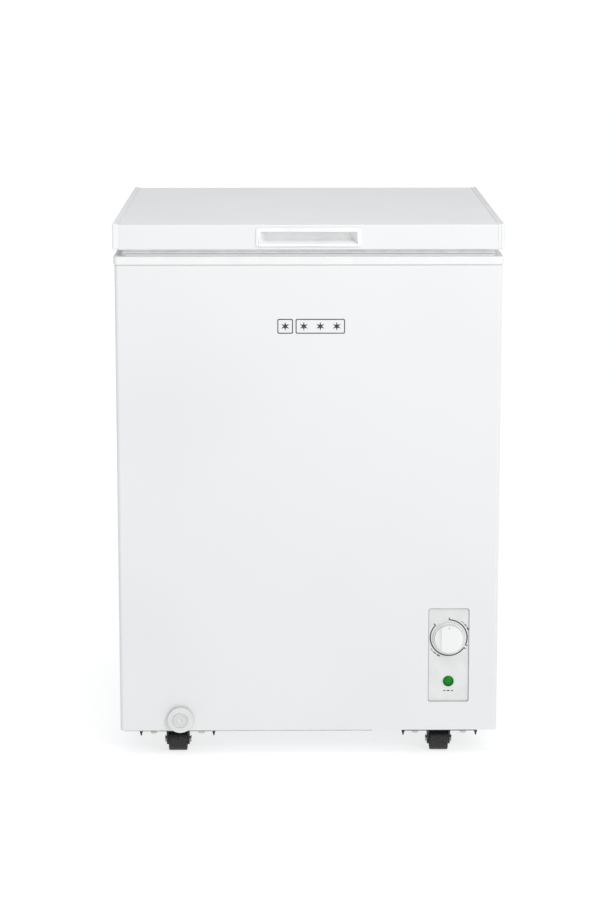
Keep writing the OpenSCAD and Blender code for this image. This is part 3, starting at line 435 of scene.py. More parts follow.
def relief(material, shader, *layers):
    """Stacks bumps. Each layer is (height, depth in metres, strength)."""
    normal = None
    for height, depth, strength in layers:
        links = {"Height": height}
        if normal:
            links["Normal"] = normal
        bump = add_node(
            material, "ShaderNodeBump", {"Distance": depth, "Strength": strength}, links)
        normal = bump.outputs["Normal"]
    material.node_tree.links.new(normal, shader.inputs["Normal"])


def plain_finish(code, name, sockets, drift, gloss, bumps):
    """A finish of the table below: drifting colour, uneven gloss and stacked bumps of noise."""
    material, shader, coordinates = start_finish(name, code, **sockets)
    size, detail, second, *stops = drift
    vary(material, shader, grain(material, coordinates, size, detail), code, second, *stops)
    if gloss:
        size, detail, low, high = gloss
        roughen(material, shader, grain(material, coordinates, size, detail), low, high)
    relief(material, shader, *[
        (grain(material, coordinates, size, detail, *stretched), depth, strength)
        for size, detail, depth, strength, *stretched in bumps])
    return material


def galvanised_finish(code):
    """Hot-dip galvanised sheet. Its zinc freezes in spangles about 8 mm across."""
    material, shader, coordinates = start_finish(
        "galvanised_sheet", code, Metallic=1.0, Roughness=0.45)
    spangle = cells(material, coordinates, 0.008)
    shade = add_node(
        material, "ShaderNodeSeparateColor", None, {"Color": spangle.outputs["Color"]})
    vary(material, shader, shade.outputs["Red"], code, "#8E9498", 0.2, 0.9)
    roughen(material, shader, shade.outputs["Green"], 0.32, 0.55)
    relief(material, shader, (grain(material, coordinates, 0.0012, 2), 0.00003, 0.3))
    return material


def foam_finish(code):
    """Rigid polyurethane foam. Its cut skin is dry and full of small open cells."""
    material, shader, coordinates = start_finish("rigid_foam", code, Roughness=0.95)
    vary(material, shader, grain(material, coordinates, 0.01, 5), code, "#CDB877")
    pores = cells(material, coordinates, 0.0025)
    relief(material, shader, (pores.outputs["Distance"], 0.0004, 0.6))
    return material


def lens_finish(code):
    """Clear green acrylic over a lamp: bright in the middle, with painted shade that darkens the
    dome's sides as they turn away from view.
    """
    material, shader, coordinates = start_finish(
        "green_acrylic", code, Roughness=0.14, IOR=1.49, Specular_IOR_Level=0.2)
    # Painted shade: the base colour darkens round the lens's rim, where the dome turns away from
    # view.
    sides = add_node(material, "ShaderNodeLayerWeight", {"Blend": 0.35})
    ramp = add_node(material, "ShaderNodeValToRGB",
                    {"stops": [(0.05, linear(code)), (0.4, linear("#033009"))]},
                    {"Fac": sides.outputs["Facing"]})
    material.node_tree.links.new(ramp.outputs["Color"], shader.inputs["Base Color"])
    roughen(material, shader, grain(material, coordinates, 0.002, 2), 0.08, 0.18)
    facets = cells(material, coordinates, 0.0012)
    relief(material, shader, (facets.outputs["Distance"], 0.00006, 0.25))
    return material


def floor_finish(code):
    """Matt studio ground lit from below, so that it reads as plain white with faint shadows."""
    material, shader, coordinates = start_finish(
        "lit_ground", code, Roughness=0.9, Emission_Strength=0.74)
    shader.inputs["Emission Color"].default_value = linear("#FFFFFF")
    vary(material, shader, grain(material, coordinates, 0.6, 2), code, "#AAAAAB", 0.3, 0.9)
    return material


# Injection-moulded ABS. A spark-eroded mould leaves it a fine satin grain.
MOULDED = ("moulded_abs", {"Roughness": 0.36, "IOR": 1.53}, (0.05, 3, "#DDDEDE", 0.4, 0.9),
           (0.012, 4, 0.3, 0.44), [(0.0009, 2, 0.00003, 0.3)])
# Drawn mild steel, lightly oiled.
DRAWN_STEEL = ("drawn_steel", {"Metallic": 1.0, "Roughness": 0.35},
               (0.02, 4, "#6F6C66", 0.4, 0.9), (0.004, 3, 0.29, 0.5), [(0.001, 2, 0.00003, 0.3)])
PLAIN_FINISHES = {
    # Each has a name, the shader's sockets, then in metres:
    # the colour's drift: patch size, detail, second colour, where the drift starts and ends;
    # the gloss's drift: patch size, detail, lowest and highest roughness;
    # the bumps: size, detail, depth, strength, and how they are stretched.
    #
    # Baked enamel on sheet steel, never quite flat. Rolled and sprayed, so its gloss shows an
    # orange peel. Real peel is about a millimetre; it is drawn at two so that it shows.
    "enamel": ("baked_enamel", {"Roughness": 0.3, "Coat_Weight": 0.25, "Coat_Roughness": 0.12},
               (0.3, 1, "#D8D9DB", 0.45, 0.95), (0.1, 2, 0.29, 0.35),
               [(0.25, 0, 0.0006, 0.2), (0.002, 0, 0.000004, 0.2)]),
    "trim": MOULDED,
    # The grip is the trim's moulded ABS in a lighter colour, which paints light into its shaded
    # finger recess.
    "grip": MOULDED,
    "box_plastic": MOULDED,
    # ABS moulded in a plain mould. A little greyer than the trim, and polished by use.
    "controls": ("polished_abs", {"Roughness": 0.3, "IOR": 1.53}, (0.02, 3, "#D0D2D1", 0.4, 0.9),
                 (0.008, 4, 0.29, 0.38), [(0.0009, 2, 0.00002, 0.25)]),
    # Vacuum-formed polystyrene. Glossy, with the slow ripple of a stretched hot sheet.
    "liner": ("formed_polystyrene", {"Roughness": 0.3, "IOR": 1.59},
              (0.12, 2, "#E9ECED", 0.4, 0.9), (0.02, 3, 0.29, 0.4),
              [(0.06, 1, 0.0006, 0.2), (0.0015, 1, 0.00002, 0.25)]),
    # Extruded soft PVC. Satin, with fine lines along the extrusion and a bloom of chalk.
    "gasket": ("soft_pvc", {"Roughness": 0.5, "IOR": 1.5}, (0.02, 4, "#E4E5E7"),
               (0.008, 3, 0.42, 0.6), [(0.0012, 1, 0.00006, 0.4, (0.05, 0.05, 1))]),
    # Bright zinc plate on steel. Thin and slightly yellow in patches, over turned marks.
    "zinc": ("zinc_plate", {"Metallic": 1.0, "Roughness": 0.3}, (0.006, 4, "#B9B5A4", 0.4, 0.8),
             (0.002, 3, 0.29, 0.45), [(0.0008, 2, 0.00004, 0.4)]),
    # Drawn copper tube. Bright along the draw, browned where it was brazed.
    "copper": ("drawn_copper", {"Metallic": 1.0, "Roughness": 0.3},
               (0.03, 5, "#6E3B22", 0.4, 0.9), (0.004, 3, 0.29, 0.5), [(0.001, 2, 0.00003, 0.3)]),
    "tube_steel": DRAWN_STEEL,
    "spring_steel": DRAWN_STEEL,
    # Black stove enamel over rough pressed steel, greyed by dust in its hollows.
    "black_paint": ("black_stove_enamel", {"Roughness": 0.42}, (0.012, 5, "#2B2B2C", 0.45, 0.8),
                    (0.006, 4, 0.34, 0.6), [(0.0015, 2, 0.00008, 0.45)]),
    # Black moulded nylon, scuffed grey where it rolls.
    "black_plastic": ("black_nylon", {"Roughness": 0.5}, (0.004, 5, "#303032", 0.5, 0.85),
                      (0.003, 4, 0.4, 0.7), [(0.0008, 3, 0.00006, 0.5)]),
    # Moulded black rubber with a dull bloom.
    "rubber": ("moulded_rubber", {"Roughness": 0.75}, (0.005, 4, "#34332F"), None,
               [(0.0008, 2, 0.00005, 0.4)]),
    # Extruded vinyl hose.
    "hose": ("vinyl_hose", {"Roughness": 0.4}, (0.01, 3, "#AEB0AE"), None,
             [(0.001, 2, 0.00004, 0.3)]),
    # Steel wire dipped in polyethylene. Thick, soft-edged and slightly waxy.
    "wire_coat": ("dipped_polyethylene", {"Roughness": 0.34}, (0.02, 3, "#DADBDA", 0.4, 0.9),
                  (0.006, 3, 0.29, 0.45), [(0.003, 2, 0.00015, 0.3)]),
    # Pad-printed ink, a few hundredths of a millimetre proud and slightly uneven.
    "ink": ("printed_ink", {"Roughness": 0.55}, (0.0025, 4, "#44484C", 0.4, 0.9), None,
            [(0.0008, 2, 0.00002, 0.3)]),
}
SPECIAL_FINISHES = {
    "galvanised": galvanised_finish,
    "foam": foam_finish,
    "lens": lens_finish,
    "floor": floor_finish,
}
made_finishes = {}


def finish_for(slot):
    """The material of a slot, made once."""
    if slot not in made_finishes:
        code = getattr(bpy.context.scene.freezer_colours, slot)
        if slot in PLAIN_FINISHES:
            material = plain_finish(code, *PLAIN_FINISHES[slot])
        else:
            material = SPECIAL_FINISHES[slot](code)
        material.name = slot + "_" + material.name
        made_finishes[slot] = material
    return made_finishes[slot]


# --------------------------------------------------------------------------------------------
# Settings
# --------------------------------------------------------------------------------------------

def colour_property(label, description, default):
    description += ", as an sRGB hex code"
    return StringProperty(name=label, description=description, default=default)


def length_property(label, description, default):
    return FloatProperty(
        name=label, description=description, default=default, min=0, unit="LENGTH")


def power_property(label, description, default):
    return FloatProperty(name=label, description=description, default=default, min=0)


def angle_property(label, description, degrees):
    return FloatProperty(name=label, description=description, default=math.radians(degrees),
                         subtype="ANGLE", unit="ROTATION")


def place_property(label, description, default):
    return FloatVectorProperty(name=label, description=description, default=default,
                               subtype="TRANSLATION", unit="LENGTH")


class FreezerColours(bpy.types.PropertyGroup):
    """The colour of each finish."""

    enamel: colour_property("Enamel", "Painted steel sheet", "#DEDFDF")
    trim: colour_property("Trim", "Moulded white trim", "#E4E4E3")
    # Lighter than the trim: painted light in the grip's shaded finger recess.
    grip: colour_property("Grip", "Moulded grip in the lid", "#ECECEC")
    controls: colour_property("Controls", "Control panel and drain cap", "#DADBD9")
    liner: colour_property("Lining", "Lining of the cold space and the lid", "#F0F3F4")
    gasket: colour_property("Gasket", "Lid gasket", "#F0F0F1")
    zinc: colour_property("Zinc", "Plated fasteners", "#C9CBCC")
    galvanised: colour_property("Galvanised", "Bare sheet underneath", "#A9AFB3")
    foam: colour_property("Foam", "Insulation", "#E2D099")
    copper: colour_property("Copper", "Refrigeration tubes", "#B4683F")
    tube_steel: colour_property("Tube", "Evaporator tube", "#9A9A98")
    spring_steel: colour_property("Spring", "Hinge springs", "#5E5F61")
    black_paint: colour_property("Black enamel", "Compressor and roller brackets", "#131314")
    black_plastic: colour_property("Black nylon", "Rollers and relay cover", "#121213")
    rubber: colour_property("Rubber", "Compressor mounts", "#1B1B1A")
    lens: colour_property("Lens", "Lamp lens", "#05811A")
    hose: colour_property("Hose", "Drain hose", "#C7C9C6")
    wire_coat: colour_property("Wire coat", "Basket", "#EEEFEE")
    box_plastic: colour_property("Terminal box", "Terminal box", "#D9D9D4")
    ink: colour_property("Ink", "Printed marks", "#26292C")
    floor: colour_property("Floor", "Stage floor", "#A8A8A9")


class FreezerSizes(bpy.types.PropertyGroup):
    """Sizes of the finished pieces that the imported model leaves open."""

    sheet: length_property("Sheet", "Thickness of the painted sheet", 0.8 * MM)
    corner_radius: length_property("Corner radius", "Fold at the cabinet's front corners", 6 * MM)
    lid_fold: length_property("Lid fold", "Fold along the lid's front and back edges", 3 * MM)
    rim_edge: length_property("Rim edge", "Rounding of the rim frame's top edge", 1.7 * MM)
    land_inset: length_property("Land inset", "From the rim's edge to the raised land", 10 * MM)
    land_height: length_property("Land height", "Height of the raised land", 3 * MM)
    cap_edge: length_property("Cap edge", "Rounding of the lid's end caps", 2.4 * MM)
    panel_recess: length_property(
        "Panel recess", "How far the panel lies behind the sheet", 2.5 * MM)
    lining_fillet: length_property("Lining fillet", "Rounding inside the cold space", 18 * MM)
    basket_wire: length_property("Basket wire", "Diameter of the basket's wires", 3.2 * MM)
    basket_frame: length_property("Basket frame", "Diameter of the basket's top frame", 4.4 * MM)
    star: length_property("Star", "Radius of the sign's stars", 7.2 * MM)
    scale_radius: length_property(
        "Scale radius", "Radius of the printed scale round the knob", 29 * MM)
    scale_line: length_property("Scale line", "Width of the printed scale's line", 2.1 * MM)


class FreezerStage(bpy.types.PropertyGroup):
    """The camera and the lights."""

    camera_place: place_property("Camera", "Place of the camera", (-0.032, -3.703, 1.274))
    camera_tilt: angle_property("Tilt", "How far the camera looks down", 9.06)
    camera_turn: angle_property("Turn", "How far the camera looks to the right", 0.48)
    lens: FloatProperty(name="Lens", description="Focal length", default=88.7, unit="CAMERA")
    lens_shift: FloatProperty(
        name="Lens shift", description="Rise of the lens, as a share of the frame's long side",
        default=-0.17)
    sky: power_property("Sky", "Strength of the even light", 1.0)
    key: power_property("Key", "Strength of the sun-like key light", 0.3)
    key_azimuth: angle_property(
        "Key azimuth", "How far to the right of the front the key light stands", 36)
    key_elevation: angle_property("Key elevation", "How high the key light stands", 33)
    key_spread: angle_property("Key spread", "Apparent width of the key light", 9)
    soft_box: power_property("Soft box", "Power of the soft box in watts", 8.0)
    soft_box_place: place_property(
        "Soft box place", "Place of the soft box, up and to the right of the front",
        (1.15, -1.75, 1.55))
    strip: power_property("Strip", "Power of the strip light over the front in watts", 10.0)


# --------------------------------------------------------------------------------------------
# Pieces
# --------------------------------------------------------------------------------------------

def rounded_block(name, low, high, radius, axis="z", segments=6):
    """A box whose four edges along an axis are rounded."""
    piece = block(name, low, high)
    bevel(piece, along(axis), radius, segments)
    return piece


class FREEZER_OT_cabinet_sheet(bpy.types.Operator):
    """The painted sheet of the front and both sides, with its windows"""

    bl_idname = "freezer.cabinet_sheet"
    bl_label = "Cabinet sheet"

    def execute(self, context):
        sizes = context.scene.freezer_sizes
        low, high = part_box("cabinet_wrap")
        # The edge of the bare bottom pan shows under the sheet.
        low = low + Vector((0, 0, 1.2 * MM))
        sheet = block("cabinet_sheet", low, high)
        remove(sheet, "FACE", at(z=low.z))
        remove(sheet, "FACE", at(z=high.z))
        remove(sheet, "FACE", at(y=high.y))
        flange = 12 * MM
        extrude(sheet, "EDGE", at(x=low.x, y=high.y), (flange, 0, 0))
        extrude(sheet, "EDGE", at(x=high.x, y=high.y), (-flange, 0, 0))
        bevel(sheet, along("z", y=low.y), sizes.corner_radius, 8)
        bevel(sheet, along("z", x=(low.x, high.x), y=high.y), 1.6 * MM, 4)
        modify(sheet, "SOLIDIFY", thickness=sizes.sheet, offset=-1, use_even_offset=True)
        window_low, window_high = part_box("control_panel")
        around = FLANGE - 0.2 * MM  # the window is a little wider than the panel's face
        cut(sheet, rounded_block(
            "window", (window_low.x + around, low.y - PAST, window_low.z + around),
            (window_high.x - around, low.y + PAST, window_high.z - around), 3.5 * MM, "y"))
        middle = centre_of("drain_plug")
        cut(sheet, drum("hole", (middle.x, low.y - PAST, middle.z), Y, 13.2 * MM, 10 * MM))
        # A rolled groove runs round under the rim's skirt.
        skirt_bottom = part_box("rim_frame")[1].z - sizes.land_height - SKIRT
        groove = block("groove", (low.x - 0.01, low.y - 0.01, skirt_bottom - 1.5 * MM),
                       (high.x + 0.01, high.y + 0.01, skirt_bottom + 0.5 * MM))
        cut(groove, rounded_block("inside", (low.x + 0.6 * MM, low.y + 0.6 * MM, low.z),
                                  (high.x - 0.6 * MM, high.y + 0.05, high.z), 5.4 * MM))
        cut(sheet, groove)
        ease(sheet, 0.25 * MM, 2, 50)
        finish(sheet, "cabinet", "enamel", "cabinet_wrap")
        return {"FINISHED"}


class FREEZER_OT_rim_frame(bpy.types.Operator):
    """The moulded frame on the cabinet's top edge"""

    bl_idname = "freezer.rim_frame"
    bl_label = "Rim frame"

    def execute(self, context):
        sizes = context.scene.freezer_sizes
        low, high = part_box("rim_frame")
        liner_low, liner_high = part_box("inner_liner")
        skirt_top = high.z - sizes.land_height
        skirt_bottom = skirt_top - SKIRT
        wall = 2 * MM
        opening_low = liner_low + Vector((3, 3, 0)) * MM
        opening_high = liner_high - Vector((3, 3, 0)) * MM
        rim = block("rim_trim", (low.x, low.y, skirt_bottom), (high.x, high.y, skirt_top))
        bevel(rim, along("z"), 7.7 * MM, 8)
        bevel(rim, at(z=skirt_top), sizes.rim_edge, 6)
        # The raised land that the gasket closes on.
        edge = sizes.land_inset
        land = rounded_block("land", (low.x + edge, low.y + edge, skirt_bottom + wall),
                             (high.x - edge, high.y - edge, high.z), 12 * MM)
        bevel(land, at(z=high.z), 0.8 * MM, 3)
        cut(rim, land, "UNION")
        # The frame is hollow under its skirt, where the wall's edge stands in it.
        hollow = rounded_block(
            "hollow", (low.x + 1.7 * MM, low.y + 1.7 * MM, skirt_bottom - PAST),
            (high.x - 1.7 * MM, high.y - 1.7 * MM, skirt_top - wall), 6 * MM)
        cut(rim, hollow)
        lip = rounded_block("lip", (opening_low.x - wall, opening_low.y - wall, low.z),
                            (opening_high.x + wall, opening_high.y + wall, skirt_top - wall / 2),
                            25 * MM)
        cut(rim, lip, "UNION")
        cut(rim, rounded_block("opening", (opening_low.x, opening_low.y, low.z - PAST),
                               (opening_high.x, opening_high.y, high.z + PAST), 23 * MM))
        ease(rim, 0.5 * MM, 2, 50)
        finish(rim, "cabinet", "trim", "rim_frame")
        return {"FINISHED"}


class FREEZER_OT_lid_sheet(bpy.types.Operator):
    """The lid's sheet, folded down at the front and the back, with the grip's window"""

    bl_idname = "freezer.lid_sheet"
    bl_label = "Lid sheet"

    def execute(self, context):
        sizes = context.scene.freezer_sizes
        low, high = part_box("lid_skin")
        sheet = block("lid_sheet", low, high)
        remove(sheet, "FACE", at(x=low.x))
        remove(sheet, "FACE", at(x=high.x))
        remove(sheet, "FACE", at(z=low.z))
        hem = 9 * MM
        extrude(sheet, "EDGE", at(y=low.y, z=low.z), (0, hem, 0))
        extrude(sheet, "EDGE", at(y=high.y, z=low.z), (0, -hem, 0))
        bevel(sheet, along("x", y=(low.y, high.y), z=high.z), sizes.lid_fold, 8)
        bevel(sheet, along("x", y=(low.y, high.y), z=low.z), 1.2 * MM, 4)
        modify(sheet, "SOLIDIFY", thickness=sizes.sheet, offset=-1, use_even_offset=True)
        grip_low, grip_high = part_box("lid_grip")
        cut(sheet, rounded_block(
            "window", (grip_low.x + 4 * MM, low.y - PAST, grip_low.z + 3 * MM),
            (grip_high.x - 4 * MM, low.y + PAST, grip_high.z - 3 * MM), 3 * MM, "y"))
        ease(sheet, 0.2 * MM, 2, 50)
        finish(sheet, "lid", "enamel", "lid_skin")
        return {"FINISHED"}


class FREEZER_OT_lid_caps(bpy.types.Operator):
    """The moulded caps that close the lid's two ends"""

    bl_idname = "freezer.lid_caps"
    bl_label = "Lid end caps"

    def execute(self, context):
        sizes = context.scene.freezer_sizes
        for side, sign in (("left", -1), ("right", 1)):
            node = "lid_end_cap_" + side
            low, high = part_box(node)
            inner, outer = (high.x, low.x) if sign < 0 else (low.x, high.x)
            # An outer flange, and a ledge beside it that the sheet runs up to.
            step = inner + sign * 4.4 * MM
            cap = block("cap_" + side, (min(step, outer), low.y, low.z),
                        (max(step, outer), high.y, high.z))
            bevel(cap, along("x"), 2.2 * MM, 5)
            bevel(cap, at(x=outer), sizes.cap_edge, 5)
            bevel(cap, at(x=step), 0.6 * MM, 3)
            drop = Vector((0, 0.7 * MM, 0.7 * MM))
            ledge = block("ledge", Vector((min(inner, step + sign * MM), low.y, low.z)) + drop,
                          Vector((max(inner, step + sign * MM), high.y, high.z)) - drop)
            bevel(ledge, along("x"), 2.2 * MM, 5)
            cut(cap, ledge, "UNION")
            # The hollow that the lid's foam fills.
            cut(cap, block("hollow", (min(inner - sign * MM, inner + sign * 7.6 * MM),
                                      low.y + 2.4 * MM, low.z + 2.4 * MM),
                           (max(inner - sign * MM, inner + sign * 7.6 * MM),
                            high.y - 2.4 * MM, high.z - 2.4 * MM)))
            ease(cap, 0.25 * MM, 2, 50)
            finish(cap, "lid", "trim", node)
        return {"FINISHED"}


class FREEZER_OT_lid_grip(bpy.types.Operator):
    """The moulded grip: a proud frame round a finger recess"""

    bl_idname = "freezer.lid_grip"
    bl_label = "Lid grip"

    def execute(self, context):
        low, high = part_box("lid_grip")
        sheet_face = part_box("lid_skin")[0].y
        middle = (low + high) / 2
        frame_piece = block("grip", low, (high.x, sheet_face, high.z))
        bevel(frame_piece, along("y"), 3.5 * MM, 6)
        # The pocket's outside, behind the frame.
        inset(frame_piece, at(y=sheet_face), 3.2 * MM)
        extrude(frame_piece, "FACE", lambda face: at(y=sheet_face)(face)
                and face.calc_area() > 0.5 * (high.x - low.x) * (high.z - low.z),
                (0, high.y - sheet_face, 0))
        # The finger opening. Its lower lip is rolled, its floor climbs and its ends draw in.
        half_w, opening_h, depth, lip = 75 * MM, 17.5 * MM, 18 * MM, 4.2 * MM
        floor_z = middle.z - opening_h / 2 - 0.5 * MM
        top_z = floor_z + opening_h
        back_y = low.y + depth
        roll = [(low.y + lip + lip * math.cos(a), floor_z - lip + lip * math.sin(a))
                for a in [math.radians(180 - 90 * i / 6) for i in range(7)]]
        outline = [(low.y - MM, roll[0][1]), *roll, (back_y, floor_z + 4.2 * MM),
                   (back_y, top_z + 1.2 * MM), (low.y - MM, top_z)]
        cutter = line("opening", [(-half_w, y, z) for y, z in outline + outline[:1]])
        mend(cutter)
        bpy.ops.mesh.edge_face_add()
        bpy.ops.mesh.extrude_region_move(TRANSFORM_OT_translate={"value": (2 * half_w, 0, 0)})
        stretch(cutter, "VERT", at(y=back_y), (1 - 10 * MM / half_w, 1, 1), (0, 0, 0))
        bevel(cutter, at(y=back_y), 2 * MM, 5)
        mend(cutter)
        cut(frame_piece, cutter)
        bevel(frame_piece, lambda edge: at(y=low.y)(edge) and edge.calc_face_angle(0) > 0.5,
              0.9 * MM, 4)
        ease(frame_piece, 0.3 * MM, 2, 60)
        # The grip's lighter colour paints light into its shaded recess.
        finish(frame_piece, "lid", "trim", "lid_grip", look="grip")
        return {"FINISHED"}


class FREEZER_OT_lid_lining(bpy.types.Operator):
    """The formed inner panel of the lid, with its plateau"""

    bl_idname = "freezer.lid_lining"
    bl_label = "Lid lining"

    def execute(self, context):
        low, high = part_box("lid_liner")
        rim_low, rim_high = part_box("inner_liner")
        plateau_low = Vector((rim_low.x + 17 * MM, rim_low.y + 17 * MM, low.z))
        plateau_high = Vector((rim_high.x - 17 * MM, rim_high.y - 17 * MM, high.z))
        border_z = high.z - 1 * MM
        border = block("border", (low.x, low.y, border_z), high)
        plateau = rounded_block("lid_lining", plateau_low, plateau_high, 14 * MM, "z", 8)
        bevel(plateau, at(z=low.z), 2.4 * MM, 6)
        # A shallow field pressed into the plateau.
        away = Vector((34, 34, 0)) * MM
        cut(plateau, rounded_block(
            "field", plateau_low + away - Vector((0, 0, PAST)),
            Vector((plateau_high.x, plateau_high.y, low.z + 0.7 * MM)) - away, 20 * MM, "z", 8))
        cut(plateau, border, "UNION")
        ease(plateau, 0.5 * MM, 3, 50)
        finish(plateau, "lid", "liner", "lid_liner")
        return {"FINISHED"}


def frame_ring(name, low, high, width, edge):
    """A flat square ring of a given width, with its edges rounded."""
    ring = rounded_block(name, low, high, 4 * MM, "z", 4)
    inward = Vector((width, width, -MM))
    cut(ring, rounded_block("inside", low + inward, high - inward, 3 * MM, "z", 4))
    ease(ring, edge, 3, 50)
    return ring


class FREEZER_OT_gasket(bpy.types.Operator):
    """The lid's magnetic gasket: foot, bellows and magnet strip"""

    bl_idname = "freezer.gasket"
    bl_label = "Lid gasket"

    def execute(self, context):
        low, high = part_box("lid_gasket")
        height = high.z - low.z
        layers = (
            # inset from the outer edge, width, bottom, top, rounding
            (0, 20, 0, 3.4, 0.4),
            (0.9, 18.2, 3.1, 5.2, 0.6),
            (0.3, 19.4, 4.9, 6.6, 0.7),
            (0.9, 18.2, 6.3, 7.4, 0.4),
            (0, 20, 7.1, height / MM, 0.5),
        )
        rings = []
        for away, width, bottom, top, rounding in layers:
            corner = Vector((away, away, 0)) * MM
            rings.append(frame_ring(
                "gasket_layer",
                Vector((low.x, low.y, low.z + bottom * MM)) + corner,
                Vector((high.x, high.y, low.z + top * MM)) - corner, width * MM, rounding * MM))
        finish(join("gasket", rings), "lid", "gasket", "lid_gasket")
        return {"FINISHED"}


class FREEZER_OT_control_panel(bpy.types.Operator):
    """The moulded panel, its window's step and its printed marks"""

    bl_idname = "freezer.control_panel"
    bl_label = "Control panel"

    def execute(self, context):
        sizes = context.scene.freezer_sizes
        low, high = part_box("control_panel")
        face_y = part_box("cabinet_wrap")[0].y + sizes.panel_recess
        wall = 2.4 * MM
        edge = FLANGE + 0.5 * MM
        panel = rounded_block("panel", (low.x + edge, face_y, low.z + edge),
                              (high.x - edge, high.y, high.z - edge - 0.5 * MM), 3.3 * MM, "y")
        inset(panel, at(y=high.y), wall)
        extrude(panel, "FACE", lambda face: at(y=high.y)(face) and face.calc_area() > 0.004,
                (0, face_y + wall - high.y, 0))
        bevel(panel, at(y=face_y), 0.5 * MM, 3)
        # The flange lies behind the sheet, and a groove runs round between it and the face.
        flange = rounded_block("flange", (low.x, low.y + TOUCH, low.z),
                               (high.x, face_y + 2.2 * MM, high.z), 5 * MM, "y")
        edge = FLANGE - 0.4 * MM
        cut(flange, rounded_block(
            "groove", (low.x + edge, low.y - PAST, low.z + edge),
            (high.x - edge, face_y + 1.5 * MM, high.z - edge), 3.7 * MM, "y"))
        cut(panel, flange, "UNION")
        knob_z = centre_of("knob").z
        lamp_z = centre_of("lamp_lens").z
        middle = (low.x + high.x) / 2
        cut(panel, drum("bore", (middle, face_y - PAST, knob_z), Y, 4.2 * MM, 12 * MM))
        cut(panel, drum("bore", (middle, face_y - PAST, lamp_z), Y, 7.6 * MM, 12 * MM))
        ease(panel, 0.2 * MM, 2, 60)
        finish(panel, "cabinet", "trim", "control_panel", look="controls")

        # A printed scale in two runs with a tick at each end, and plain marks beside them.
        marks = []
        ink_y = face_y - 0.06 * MM
        centre = Vector((middle, ink_y, knob_z))

        def from_top(degrees, radius):
            """A place round the knob, clockwise from the top as seen from the front."""
            a = math.radians(degrees)
            return centre + Vector((math.sin(a), 0, math.cos(a))) * radius

        radius, half = sizes.scale_radius, sizes.scale_line / 2
        for start, end in ((1, 114), (124, 314)):
            steps = max(8, int((end - start) / 5))
            points = [from_top(start, radius + 3.6 * MM)]
            points += [from_top(start + (end - start) * i / steps, radius)
                       for i in range(steps + 1)]
            points.append(from_top(end, radius + 3.6 * MM))
            marks.append(printed_line(points, half))
        # Thickening dashes stand for a colder setting, and thinning ones for the first steps.
        for first, thick in ((36, (0.5, 0.8, 1.1)), (205, (1.1, 0.8, 0.5))):
            for i, half_width in enumerate(thick):
                dash = [from_top(first + 12 * i + 3 * k, radius + 4.2 * MM) for k in range(4)]
                marks.append(printed_line(dash, half_width * MM))
        mark_z = lamp_z - 15.5 * MM
        for i, half_width in enumerate((0.8, 1.1, 0.8)):
            x = middle + (i - 1) * 6.0 * MM
            dash = [(x - 1.9 * MM, ink_y, mark_z), (x + 1.9 * MM, ink_y, mark_z)]
            marks.append(printed_line(dash, half_width * MM))
        finish(join("panel_print", marks), "cabinet", "trim", look="ink")
        return {"FINISHED"}


def printed_line(points, half):
    """A printed line: a wire through the points, pressed flat."""
    piece = wire("printed_line", points, half, resolution=1)
    stretch(piece, "VERT", lambda point: True, (1, FILM / half, 1), points[0])
    return piece


class FREEZER_OT_knob(bpy.types.Operator):
    """The thermostat knob: skirt, crown and a grip bar between two scoops"""

    bl_idname = "freezer.knob"
    bl_label = "Knob"

    def execute(self, context):
        low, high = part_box("knob")
        centre = (low + high) / 2
        base = Vector((centre.x, high.y, centre.z))
        height = (high.y - low.y) / MM
        skirt = (high.x - low.x) / 2 / MM
        crown = skirt - 2.4
        bar, scoop_floor, scoop_radius = 7.25, height - 4.5, 15
        knob = turned("knob_body", [
            (0, 0), (skirt - 0.5, 0), *arc(skirt - 0.5, 0.5, 0.5, -90, 0, 3),
            *arc(skirt - 1.1, 2.9, 1.1, 0, 90, 4),
            (crown + 0.9, 4.0), (crown + 0.8, 3.0), (crown, 3.0), (crown, 4.5),
            *arc(crown - 1.6, height - 1.6, 1.6, 0, 90, 6),
            (0, height)], 96)
        for side in (-1, 1):
            # A scoop is a barrel laid beside the bar, so that its flank is hollow.
            scoop = block("scoop", (bar * MM, -40 * MM, scoop_floor * MM),
                          (50 * MM, 40 * MM, 40 * MM))
            bevel(scoop, along("y", x=bar * MM, z=scoop_floor * MM), scoop_radius * MM, 16)
            if side < 0:
                pick(scoop, "VERT", lambda point: True)
                bpy.ops.transform.rotate(value=math.pi, orient_axis="Z", center_override=(0, 0, 0))
            cut(knob, scoop)
        ease(knob, 0.7 * MM, 3, 32)
        # The pointer is a small pit near the bar's end.
        pit = drum("pit", (0, 18 * MM, (height - 0.5) * MM), Z, 0.9 * MM, 3 * MM, 24)
        cut(knob, pit)
        place_front(knob, base)
        finish(knob, "knob", "trim", "knob", angle=40)
        dot = drum("knob_pointer", (0, 18 * MM, (height - 0.55) * MM), Z, 0.85 * MM, 0.15 * MM, 24)
        ease(dot, 0.05 * MM, 1)
        place_front(dot, base)
        finish(dot, "knob", "trim", look="ink")
        return {"FINISHED"}


class FREEZER_OT_lamp(bpy.types.Operator):
    """The lamp's domed lens in its collar"""

    bl_idname = "freezer.lamp"
    bl_label = "Lamp lens"

    def execute(self, context):
        low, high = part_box("lamp_lens")
        centre = (low + high) / 2
        face_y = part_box("cabinet_wrap")[0].y + context.scene.freezer_sizes.panel_recess
        radius = (high.x - low.x) / 2 / MM
        top, dome_radius = 3.0, 11
        dome = [(r, top - dome_radius + math.sqrt(dome_radius ** 2 - r * r))
                for r in (6.9, 6.2, 5.2, 4, 2.8, 1.5, 0)]
        lens = turned("lamp_dome", [
            (0, -2.3), (7.3, -2.3), (7.3, -0.02), (radius, -0.02),
            *arc(radius - 0.4, 0.6, 0.4, 0, 90, 3),
            (radius - 0.9, 1.0), (radius - 1.2, 0.75), (radius - 1.5, 1.0), *dome], 64)
        place_front(lens, (centre.x, face_y, centre.z))
        finish(lens, "cabinet", "lens", "lamp_lens")
        return {"FINISHED"}


